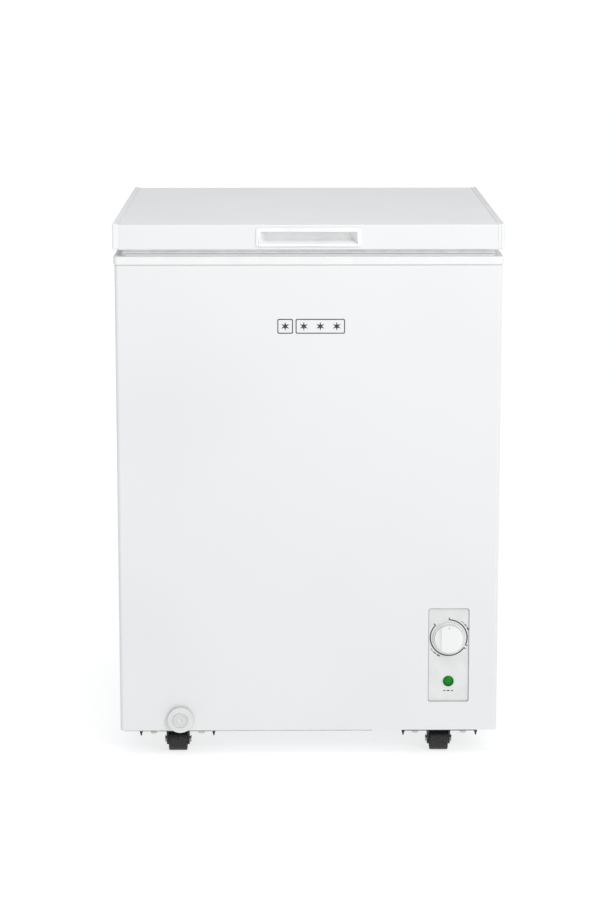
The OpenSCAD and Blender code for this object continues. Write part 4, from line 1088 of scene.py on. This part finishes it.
class FREEZER_OT_drain_front(bpy.types.Operator):
    """The drain's cap and the spout behind it"""

    bl_idname = "freezer.drain_front"
    bl_label = "Drain cap and spout"

    def execute(self, context):
        low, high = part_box("drain_plug")
        centre = (low + high) / 2
        sheet_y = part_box("cabinet_wrap")[0].y
        base = Vector((centre.x, sheet_y - 1.9 * MM, centre.z))
        radius = (high.x - low.x) / 2 / MM
        top = (base.y - low.y) / MM
        cap = turned("drain_cap", [
            (0, -12), (8.7, -12), *arc(8.7, -11, 1.0, -90, 0, 4), (9.7, 0),
            (radius - 0.5, 0), *arc(radius - 0.5, 0.5, 0.5, -90, 0, 3),
            *arc(radius - 1.8, top - 3.3, 1.8, 0, 75, 6),
            # Turned rings, each a soft swell with a groove between.
            (17.2, top - 1.1), (16.4, top - 1.4), (15.6, top - 1.0),
            *arc(13.2, top - 1.6, 1.2, 30, 150, 5),
            (11.6, top - 2.0), *arc(10.3, top - 1.0, 0.9, 10, 170, 5), (8.9, top - 1.9),
            (7.6, top - 2.0), (6.2, top - 1.7),
            *arc(4.9, top - 0.9, 0.9, 0, 180, 5), (3.6, top - 1.7), (2.2, top - 2.0),
            (0, top - 1.2)], 80)
        place_front(cap, base)
        finish(cap, "drain_plug", "trim", "drain_plug", look="controls", angle=50)
        spout_base = Vector((centre.x, sheet_y, centre.z))
        spout = turned("spout", [
            (10, -16), (10, 0.9), *arc(10.7, 0.9, 0.7, 180, 90, 3), (15.3, 1.6),
            *arc(15.3, 0.9, 0.7, 90, 0, 3), (16, 0), (13, 0), (13, -0.8), (15, -0.8), (15, -2.4),
            (13, -2.4), (13, -18), (6.9, -18), (6.9, -34), (5, -34), (5, -16), (10, -16)], 64)
        place_front(spout, spout_base)
        finish(spout, "cabinet", "trim", "drain_spout", angle=40)
        return {"FINISHED"}


class FREEZER_OT_front_sign(bpy.types.Operator):
    """The four-star freezer sign printed on the front"""

    bl_idname = "freezer.front_sign"
    bl_label = "Four-star sign"

    def execute(self, context):
        size = context.scene.freezer_sizes.star
        front_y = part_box("cabinet_wrap")[0].y
        middle = Vector((4 * MM, front_y - 0.05 * MM, 691 * MM))
        box_h, stroke, gap = 23 * MM, 1.5 * MM, 4 * MM
        first_w, rest_w = 24 * MM, 76 * MM
        left = middle.x - (first_w + rest_w + gap) / 2
        parts = []
        for x0, width in ((left, first_w), (left + first_w + gap, rest_w)):
            parts.append(border_print(
                "sign_box", Vector((x0, middle.y, middle.z - box_h / 2)),
                Vector((x0 + width, middle.y, middle.z + box_h / 2)), stroke))
        places = [left + first_w / 2]
        places += [left + first_w + gap + rest_w * (i + 0.5) / 3 for i in range(3)]
        for x in places:
            parts.append(star_print("sign_star", (x, middle.y, middle.z), size))
        finish(join("front_sign", parts), "cabinet", "enamel", look="ink")
        return {"FINISHED"}


def border_print(name, low, high, stroke):
    """A printed rectangle's outline with rounded corners."""
    plate = block(name, low - Vector((0, 0.04 * MM, 0)), high + Vector((0, 0.04 * MM, 0)))
    bevel(plate, along("y"), 2.4 * MM, 5)
    inward = Vector((stroke, -MM, stroke))
    hole = block("hole", low + inward, high - inward)
    bevel(hole, along("y"), 1.4 * MM, 5)
    cut(plate, hole)
    return plate


def star_print(name, centre, size):
    """A printed six-armed frost star: three bars crossed."""
    only()
    bpy.ops.mesh.primitive_circle_add(vertices=12, radius=size, fill_type="NGON", location=centre,
                                      rotation=(math.pi / 2, 0, 0))
    star = settle(name)
    middle = Vector(centre)

    def every_other(point):
        angle = math.degrees(math.atan2(point.co.x - middle.x, point.co.z - middle.z)) % 60
        return abs(angle - 30) < 5

    stretch(star, "VERT", every_other, (0.36, 1, 0.36), centre)
    modify(star, "SOLIDIFY", thickness=0.08 * MM, offset=0)
    return star


class FREEZER_OT_back_panel(bpy.types.Operator):
    """The back sheet with its pressed beads, and the louvred cover of the machine bay"""

    bl_idname = "freezer.back_panel"
    bl_label = "Back panel and bay cover"

    def execute(self, context):
        low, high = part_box("back_panel")
        skin = 0.8 * MM
        cover_low, cover_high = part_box("bay_cover")
        panel = block("back_sheet", low, (high.x, low.y + skin, high.z))
        cut(panel, block("window", (cover_low.x + 11 * MM, low.y - PAST, cover_low.z + 10 * MM),
                         (cover_high.x - 10 * MM, low.y + PAST, cover_high.z - 10 * MM)))
        bead_low, bead_high = cover_high.z + 70 * MM, high.z - 145 * MM
        for share in (-0.5, 0.1):
            x = share * 297.5 * MM
            bead = drum("bead", (x, low.y + skin, bead_low), Z, 6 * MM, bead_high - bead_low, 32)
            bevel(bead, lambda edge: at(z=bead_low)(edge) or at(z=bead_high)(edge), 5.6 * MM, 6)
            cut(bead, block("front_half", (x - 0.02, low.y - 0.02, bead_low - 0.02),
                            (x + 0.02, low.y + skin / 2, bead_high + 0.02)))
            cut(panel, bead, "UNION")
        ease(panel, 0.25 * MM, 2, 40)
        finish(panel, "cabinet", "enamel", "back_panel")

        cover = block("louvre_cover", cover_low, cover_high)
        bevel(cover, along("y"), 4 * MM, 5)
        gland = centre_of("cord_gland")
        cut(cover, drum("hole", (gland.x, cover_low.y - PAST, gland.z), Y, 8 * MM, 12 * MM, 48))
        array = {"count": 10, "use_relative_offset": False, "use_constant_offset": True,
                 "constant_offset_displace": (0, 0, 16 * MM)}
        slot_w = (cover_high.x - cover_low.x) / 2 - 24 * MM
        slot_z, hood_z = cover_low.z + 62 * MM, cover_low.z + 71 * MM
        root_y, hood_y = cover_high.y - 0.4 * MM, cover_high.y + 5 * MM
        hoods = []
        for column in (cover_low.x + 18 * MM, (cover_low.x + cover_high.x) / 2 + 5 * MM):
            slots = rounded_block("slots", (column, cover_low.y - 3 * MM, slot_z),
                                  (column + slot_w, cover_high.y + 3 * MM, slot_z + 6 * MM),
                                  2.4 * MM, "y", 4)
            modify(slots, "ARRAY", **array)
            cut(cover, slots)
            # A pressed hood over each slot, open downwards.
            hood = block("hood", (column - MM, root_y, slot_z),
                         (column + slot_w + MM, hood_y, hood_z))
            bevel(hood, along("x", y=hood_y, z=hood_z), 4.6 * MM, 6)
            bevel(hood, lambda edge: at(x=column - MM)(edge) and edge.calc_length() > 0.1 * MM
                  and not at(y=root_y)(edge) and not at(z=slot_z)(edge), 1.6 * MM, 3)
            remove(hood, "FACE", at(z=slot_z))
            remove(hood, "FACE", at(y=root_y))
            modify(hood, "SOLIDIFY", thickness=0.8 * MM, offset=-1)
            modify(hood, "ARRAY", **array)
            hoods.append(hood)
        ease(cover, 0.25 * MM, 2, 50)
        finish(join("louvre_cover", [cover, *hoods]), "cabinet", "enamel", "bay_cover")
        gland_piece = eased_copy("cord_gland", "cord_bush")
        finish(gland_piece, "cabinet", "black_plastic", "cord_gland")
        return {"FINISHED"}


class FREEZER_OT_hinges(bpy.types.Operator):
    """Both hinges: brackets, arms, pins and their springs"""

    bl_idname = "freezer.hinges"
    bl_label = "Hinges"

    def execute(self, context):
        for side in ("left", "right"):
            bracket = eased_copy("hinge_bracket_" + side, "bracket_" + side)
            finish(bracket, "cabinet", "enamel", "hinge_bracket_" + side)
            arm = eased_copy("hinge_arm_" + side, "arm_" + side)
            finish(arm, "lid", "enamel", "hinge_arm_" + side)
        pins = eased_copy("hinge_pins", "pins")
        finish(pins, "cabinet", "zinc", "hinge_pins")

        pin = centre_of("hinge_pins")
        hinge_x = centre_of("hinge_bracket_right").x
        radius, strand, turns, half, per_turn = 5.8 * MM, 1.1 * MM, 6, 8 * MM, 24
        springs = []
        for x in (-hinge_x, hinge_x):
            points = [(x - half, pin.y - radius - MM, pin.z - 46 * MM),
                      (x - half, pin.y - radius - 0.2 * MM, pin.z - 8 * MM)]
            for i in range(turns * per_turn + 1):
                a = FULL_TURN * i / per_turn
                points.append((x - half + 2 * half * i / (turns * per_turn),
                               pin.y - radius * math.cos(a), pin.z + radius * math.sin(a)))
            springs.append(wire("spring", points, strand))
        finish(join("springs", springs), "cabinet", "spring_steel", "hinge_springs")
        return {"FINISHED"}


class FREEZER_OT_screws(bpy.types.Operator):
    """The cross-head screws of the bay cover and the hinges"""

    bl_idname = "freezer.screws"
    bl_label = "Screws"

    def execute(self, context):
        dome_radius = 6.8
        dome = [(r, dome_radius * math.sqrt(1 - (r / dome_radius) ** 2) - 4.4)
                for r in (4.1, 3.4, 2.4, 1.2, 0)]
        head = turned("screw", [
            (0, -4), (1.6, -4), (2, -3.4), (2, 0), (4.2, 0), (4.2, 0.25), *dome], 32)
        for half_x, half_y in ((2.6, 0.5), (0.5, 2.6)):
            arm = block("cross", (-half_x * MM, -half_y * MM, 0.9 * MM),
                        (half_x * MM, half_y * MM, 5 * MM))
            stretch(arm, "FACE", at(z=0.9 * MM), (0.5, 0.5, 1), (0, 0, 0))
            cut(head, arm)
        ease(head, 0.12 * MM, 2, 35)
        cover_low, cover_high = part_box("bay_cover")
        sets = {"bay_cover_screws": ("cabinet", [
            (x, cover_high.y, z) for x in (cover_low.x + 5.5 * MM, cover_high.x - PAST)
            for z in (cover_low.z + PAST, cover_high.z - 6 * MM)])}
        pin_z = centre_of("hinge_pins").z
        plate_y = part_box("back_panel")[0].y + 2.8 * MM
        hinge_x = centre_of("hinge_arm_right").x
        lid_low, lid_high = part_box("lid_skin")
        sets["hinge_screws"] = ("cabinet", [
            (s * hinge_x + x * MM, plate_y, pin_z + z * MM)
            for s in (-1, 1) for x in (-12, 12) for z in (-78, -42)])
        sets["hinge_arm_screws"] = ("lid", [
            (s * hinge_x + x * MM, lid_high.y + 2.5 * MM, lid_low.z + 24 * MM)
            for s in (-1, 1) for x in (-10, 10)])
        for node, (body, places) in sets.items():
            copies = []
            for point in places:
                only(head)
                bpy.ops.object.duplicate(linked=False)
                copies.append(place_back(bpy.context.object, point))
            finish(join(node + "_cross", copies), body, "zinc", node)
        bpy.data.objects.remove(head)
        return {"FINISHED"}


CORNERS = ("fl", "fr", "rl", "rr")


class FREEZER_OT_rollers(bpy.types.Operator):
    """The four rollers, their axles, brackets and bolts"""

    bl_idname = "freezer.rollers"
    bl_label = "Rollers"

    def execute(self, context):
        low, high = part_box("roller_fl")
        radius, half = (high.z - low.z) / 2 / MM, (high.x - low.x) / 2 / MM
        side = [
            (4.06, half - 0.6), (4.6, half), (7.4, half), *arc(7.4, half - 0.6, 0.6, 90, 0, 3),
            (8.4, half - 3), (radius - 4.6, half - 3), (radius - 4.2, half - 0.6),
            *arc(radius - 3.4, half - 0.6, 0.6, 180, 90, 3),
            *arc(radius - 1.6, half - 1.6, 1.6, 90, 0, 6)]
        groove = [(radius, 0.5), (radius - 0.3, 0.25)]
        profile = side + groove + [(r, -h) for r, h in reversed(side + groove)]
        wheel = turned("wheel", profile + [profile[0]], 72)
        for corner in CORNERS:
            piece = copy_to(wheel, "wheel_" + corner, centre_of("roller_" + corner), X)
            finish(piece, "roller_" + corner, "black_plastic", "roller_" + corner)
            bracket = eased_copy("roller_bracket_" + corner, "roller_fork_" + corner, 2)
            finish(bracket, "cabinet", "black_paint", "roller_bracket_" + corner)
        bpy.data.objects.remove(wheel)
        axles = eased_copy("roller_axles", "axles", 2)
        finish(axles, "cabinet", "zinc", "roller_axles")

        # One bolt: washer, flanged hexagon head with its chamfer, and shank.
        washer = turned("washer", [
            (3.2, 0), (3.2, 1.2), (6.1, 1.2), (6.5, 0.9), (6.5, 0.2), (6.2, 0), (3.2, 0)], 40)
        hexagon = drum("hexagon", (0, 0, 1.2 * MM), Z, 5.8 * MM, 4.2 * MM, 6)
        chamfer = turned("chamfer", [(0, 0.5), (8, 0.5), (8, 3.4), (4.6, 5.4), (0, 5.4)], 48)
        cut(hexagon, chamfer, "INTERSECT")
        ease(hexagon, 0.25 * MM, 2, 25)
        shank = drum("shank", (0, 0, -11 * MM), Z, 3 * MM, 13 * MM, 24)
        bolt = join("bolt", [washer, hexagon, shank])
        copies = []
        for corner in CORNERS:
            low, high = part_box("roller_bracket_" + corner)
            plate_z = high.z - 3 * MM
            for x in (low.x + 22 * MM, high.x - 22 * MM):
                for y in (low.y + 9 * MM, high.y - 9 * MM):
                    copies.append(copy_to(bolt, "bolt", (x, y, plate_z), -Z))
        bpy.data.objects.remove(bolt)
        finish(join("hexagon_bolts", copies), "cabinet", "zinc", "roller_bolts")
        return {"FINISHED"}


class FREEZER_OT_lining(bpy.types.Operator):
    """The formed lining of the cold space, with its step over the machine bay"""

    bl_idname = "freezer.lining"
    bl_label = "Lining of the cold space"

    def execute(self, context):
        sizes = context.scene.freezer_sizes
        low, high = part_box("inner_liner")
        wall = 1 * MM
        bay_low, bay_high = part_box("machine_bay_liner")
        step_x, step_z = bay_low.x - 40 * MM, bay_high.z + 40 * MM
        spare = 60 * MM
        shells = []
        for grow, top in ((0, high.z), (-wall, high.z + spare)):
            tub = block("lining", (low.x - grow, low.y - grow, low.z - grow),
                        (step_x + grow, high.y + grow, top))
            upper = block("upper", (low.x - grow, low.y - grow, step_z - grow),
                          (high.x + grow, high.y + grow, top))
            cut(tub, upper, "UNION")
            shells.append(tub)
        outer, inner = shells
        bevel(outer, along("z"), 26 * MM, 8)
        bevel(inner, along("z"), 25 * MM, 8)
        bevel(inner, lambda edge: at(z=low.z + wall)(edge) or at(z=step_z + wall)(edge),
              sizes.lining_fillet, 6)
        cut(outer, inner)
        middle = centre_of("drain_funnel")
        cut(outer, drum("hole", (middle.x, middle.y, low.z - PAST), Z, 9.6 * MM, 30 * MM, 48))
        ease(outer, 0.3 * MM, 1, 60)
        finish(outer, "cabinet", "liner", "inner_liner")
        return {"FINISHED"}


class FREEZER_OT_drain_inside(bpy.types.Operator):
    """The ring in the floor and its stopper"""

    bl_idname = "freezer.drain_inside"
    bl_label = "Drain ring and stopper"

    def execute(self, context):
        low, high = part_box("drain_funnel")
        centre = (low + high) / 2
        ring = turned("drain_ring", [
            (7, -4.6), (7, 0.9), (8, 1.2), *arc(15.8, 0.4, 1.2, 90, 0, 4),
            (17, 0), (9, 0), (9, -4.6), (7, -4.6)], 56)
        place(ring, (centre.x, centre.y, high.z - 1.6 * MM))
        finish(ring, "cabinet", "trim", "drain_funnel")
        low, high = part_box("drain_stopper")
        stub = 9
        stopper = turned("stopper", [
            (0, -stub), (6, -stub), (6.7, -stub + 0.8), (6.7, 0), (12.4, 0),
            *arc(12.4, 0.6, 0.6, -90, 0, 3), *arc(12.0, 1.4, 1.0, 0, 90, 4), (5.2, 2.4),
            *arc(5.2, 3.6, 1.2, -90, -180, 4), (4, 8.6), (6.2, 9.4),
            *arc(6.2, 10.3, 0.8, -60, 60, 5), (5.8, 11.4), (0, 11.4)], 56)
        place(stopper, (centre.x, centre.y, low.z + stub * MM))
        finish(stopper, "drain_stopper", "trim", "drain_stopper")
        return {"FINISHED"}


class FREEZER_OT_basket(bpy.types.Operator):
    """The dipped wire basket"""

    bl_idname = "freezer.basket"
    bl_label = "Wire basket"

    def execute(self, context):
        sizes = context.scene.freezer_sizes
        low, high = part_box("wire_basket")
        radius, frame_radius = sizes.basket_wire / 2, sizes.basket_frame / 2
        # The hooks reach over the rim by this much more than the gap beside the basket.
        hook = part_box("inner_liner")[1].x - 3 * MM - high.x + 9 * MM
        y0, y1 = low.y + hook, high.y - hook
        rail_z = high.z - radius
        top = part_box("lid_liner")[0].z - 6 * MM - frame_radius
        bottom = low.z + radius
        x0, x1 = low.x + radius, high.x - radius
        y0, y1 = y0 + radius, y1 - radius
        lean = 6 * MM
        bend = 9 * MM
        wires = []
        # Wires that run down one side, across the floor and up the other.
        for i in range(13):
            y = y0 + lean + (y1 - y0 - 2 * lean) * i / 12
            wires.append(wire("rib", bent([
                (x0, y, top), (x0 + lean, y, bottom), (x1 - lean, y, bottom),
                (x1, y, top)], bend), radius))
        for i in range(7):
            x = x0 + lean + (x1 - x0 - 2 * lean) * i / 6
            z = bottom + 2 * radius * 0.8
            wires.append(wire("rib", bent([
                (x, y0, top), (x, y0 + lean, z), (x, y1 - lean, z), (x, y1, top)], bend), radius))
        # Hoops round the walls, and the thicker frame at the top.
        for share, r in ((0.2, radius), (0.42, radius), (0.66, radius), (1.0, frame_radius)):
            z = bottom + (top - bottom) * share
            away = lean * (1 - share) - (radius if share < 1 else 0)
            corners = [(x0 + away, y0 + away, z), (x1 - away, y0 + away, z),
                       (x1 - away, y1 - away, z), (x0 + away, y1 - away, z)]
            middle = ((x0 + x1) / 2, y0 + away, z)
            loop = bent([middle, corners[1], corners[2], corners[3], corners[0], middle], 14 * MM)
            wires.append(wire("hoop", loop[:-1], r, closed=True))
        # Hooked handles that lie on the rim at the front and the back.
        for y, out in ((y0, -1), (y1, 1)):
            reach = y + out * hook
            ends = [low.x + 32 * MM, high.x - 32 * MM]
            points = [(ends[0], y, top - 30 * MM), (ends[0], y, rail_z), (ends[0], reach, rail_z),
                      (ends[1], reach, rail_z), (ends[1], y, rail_z), (ends[1], y, top - 30 * MM)]
            wires.append(wire("handle", bent(points, 4 * MM, 5), radius))
            middle_x = (ends[0] + ends[1]) / 2
            for x in (middle_x - 30 * MM, middle_x + 30 * MM):
                stay = [(x, y, top - 4 * MM), (x, y, rail_z), (x, reach, rail_z)]
                wires.append(wire("stay", bent(stay, 4 * MM), radius))
        finish(join("dipped_basket", wires), "basket", "wire_coat", "wire_basket", angle=60)
        return {"FINISHED"}


class FREEZER_OT_kept_nodes(bpy.types.Operator):
    """The finishes of the model's own nodes that stay"""

    bl_idname = "freezer.kept_nodes"
    bl_label = "Finishes inside"

    def execute(self, context):
        kept = {
            "galvanised": ("base_panel", "machine_bay_liner", "compressor_base"),
            "foam": ("insulation_foam", "lid_foam"),
            "tube_steel": ("evaporator_coil",),
            "copper": ("condenser_coil", "filter_drier", "suction_pipe", "discharge_pipe",
                       "capillary_tube"),
            "black_paint": ("compressor", "compressor_feet"),
            "rubber": ("compressor_grommets",),
            "zinc": ("compressor_bolts", "knob_spindle", "thermostat"),
            "black_plastic": ("relay_cover",),
            "box_plastic": ("terminal_box",),
            "trim": ("lamp_holder",),
            "hose": ("drain_hose",),
        }
        for slot, nodes in kept.items():
            for name in nodes:
                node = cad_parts[name]
                if not node.material_slots:
                    node.data.materials.append(finish_for(slot))
                for place_ in node.material_slots:
                    place_.material = finish_for(slot)
        return {"FINISHED"}


class FREEZER_OT_stage(bpy.types.Operator):
    """The floor, the lights and the camera"""

    bl_idname = "freezer.stage"
    bl_label = "Stage"

    def execute(self, context):
        stage = context.scene.freezer_stage
        only()
        bpy.ops.mesh.primitive_plane_add(size=160)
        floor = settle("stage_floor")
        floor.data.materials.append(finish_for("floor"))

        world = bpy.data.worlds.new("even_sky")
        world.use_nodes = True
        background = world.node_tree.nodes["Background"]
        background.inputs["Strength"].default_value = stage.sky
        # White walls stand round a darker ceiling, and the key light's side is the brighter one.
        direction = add_node(world, "ShaderNodeTexCoord")
        parts = add_node(world, "ShaderNodeSeparateXYZ", None, {0: direction.outputs["Generated"]})
        height = add_node(world, "ShaderNodeValToRGB",
                          {"stops": [(0.0, linear("#FFFFFF")), (1.0, linear("#CBCDD1"))]},
                          {"Fac": parts.outputs["Z"]})
        across = add_node(
            world, "ShaderNodeMapRange", {"From Min": -1.0}, {"Value": parts.outputs["X"]})
        # Black cloths hang at both sides, so that the edges stand out against the white.
        side = add_node(world, "ShaderNodeValToRGB",
                        {"stops": [(0.0, linear("#5A5A5A")), (0.26, linear("#F2F2F2")),
                                   (0.8, linear("#FFFFFF")), (1.0, linear("#B0B0B0"))]},
                        {"Fac": across.outputs["Result"]})
        walls = add_node(world, "ShaderNodeMix",
                         {"data_type": "RGBA", "blend_type": "MULTIPLY", 0: 1.0},
                         {6: height.outputs["Color"], 7: side.outputs["Color"]})
        world.node_tree.links.new(walls.outputs[2], background.inputs["Color"])
        context.scene.world = world

        toward = Vector((math.sin(stage.key_azimuth) * math.cos(stage.key_elevation),
                         -math.cos(stage.key_azimuth) * math.cos(stage.key_elevation),
                         math.sin(stage.key_elevation)))
        bpy.ops.object.light_add(type="SUN", location=toward * 4)
        key = context.object
        key.name = "key_light"
        key.data.energy = stage.key
        key.data.angle = stage.key_spread
        key.rotation_euler = toward.to_track_quat("Z", "Y").to_euler()

        for name, place_, width, depth, power in (
                ("soft_box", stage.soft_box_place, 0.9, 0.9, stage.soft_box),
                ("strip_light", (0, -1.2, 2.2), 2.2, 0.3, stage.strip)):
            bpy.ops.object.light_add(type="AREA", location=place_)
            lamp = context.object
            lamp.name = name
            lamp.data.shape = "RECTANGLE"
            lamp.data.size, lamp.data.size_y = width, depth
            lamp.data.energy = power
            away = lamp.location - Vector((0, 0, 0.6))
            lamp.rotation_euler = away.to_track_quat("Z", "Y").to_euler()

        bpy.ops.object.camera_add(
            location=stage.camera_place,
            rotation=(math.pi / 2 - stage.camera_tilt, 0, -stage.camera_turn))
        camera = context.object
        camera.name = "camera"
        camera.data.lens = stage.lens
        camera.data.sensor_width = 36
        camera.data.shift_y = stage.lens_shift
        camera.data.clip_end = 200
        context.scene.camera = camera
        context.scene.view_settings.view_transform = "Standard"
        return {"FINISHED"}


OPERATORS = (
    FREEZER_OT_stage,
    FREEZER_OT_cabinet_sheet,
    FREEZER_OT_rim_frame,
    FREEZER_OT_lid_sheet,
    FREEZER_OT_lid_caps,
    FREEZER_OT_lid_grip,
    FREEZER_OT_lid_lining,
    FREEZER_OT_gasket,
    FREEZER_OT_control_panel,
    FREEZER_OT_knob,
    FREEZER_OT_lamp,
    FREEZER_OT_drain_front,
    FREEZER_OT_front_sign,
    FREEZER_OT_back_panel,
    FREEZER_OT_hinges,
    FREEZER_OT_screws,
    FREEZER_OT_rollers,
    FREEZER_OT_lining,
    FREEZER_OT_drain_inside,
    FREEZER_OT_basket,
    FREEZER_OT_kept_nodes,
)


class FREEZER_PT_sidebar(bpy.types.Panel):
    """Lists the freezer's pieces in the sidebar"""

    bl_idname = "FREEZER_PT_sidebar"
    bl_label = "Chest freezer"
    bl_space_type = "VIEW_3D"
    bl_region_type = "UI"
    bl_category = "Freezer"

    def draw(self, context):
        for operator in OPERATORS:
            self.layout.operator(operator.bl_idname)


CLASSES = (FreezerColours, FreezerSizes, FreezerStage, *OPERATORS, FREEZER_PT_sidebar)


def register():
    for item in CLASSES:
        bpy.utils.register_class(item)
    bpy.types.Scene.freezer_colours = PointerProperty(type=FreezerColours)
    bpy.types.Scene.freezer_sizes = PointerProperty(type=FreezerSizes)
    bpy.types.Scene.freezer_stage = PointerProperty(type=FreezerStage)


def unregister():
    del bpy.types.Scene.freezer_stage
    del bpy.types.Scene.freezer_sizes
    del bpy.types.Scene.freezer_colours
    for item in reversed(CLASSES):
        bpy.utils.unregister_class(item)


def main():
    register()
    for operator in OPERATORS:
        group, name = operator.bl_idname.split(".")
        getattr(getattr(bpy.ops, group), name)()
    only()


if __name__ == "__main__":
    main()
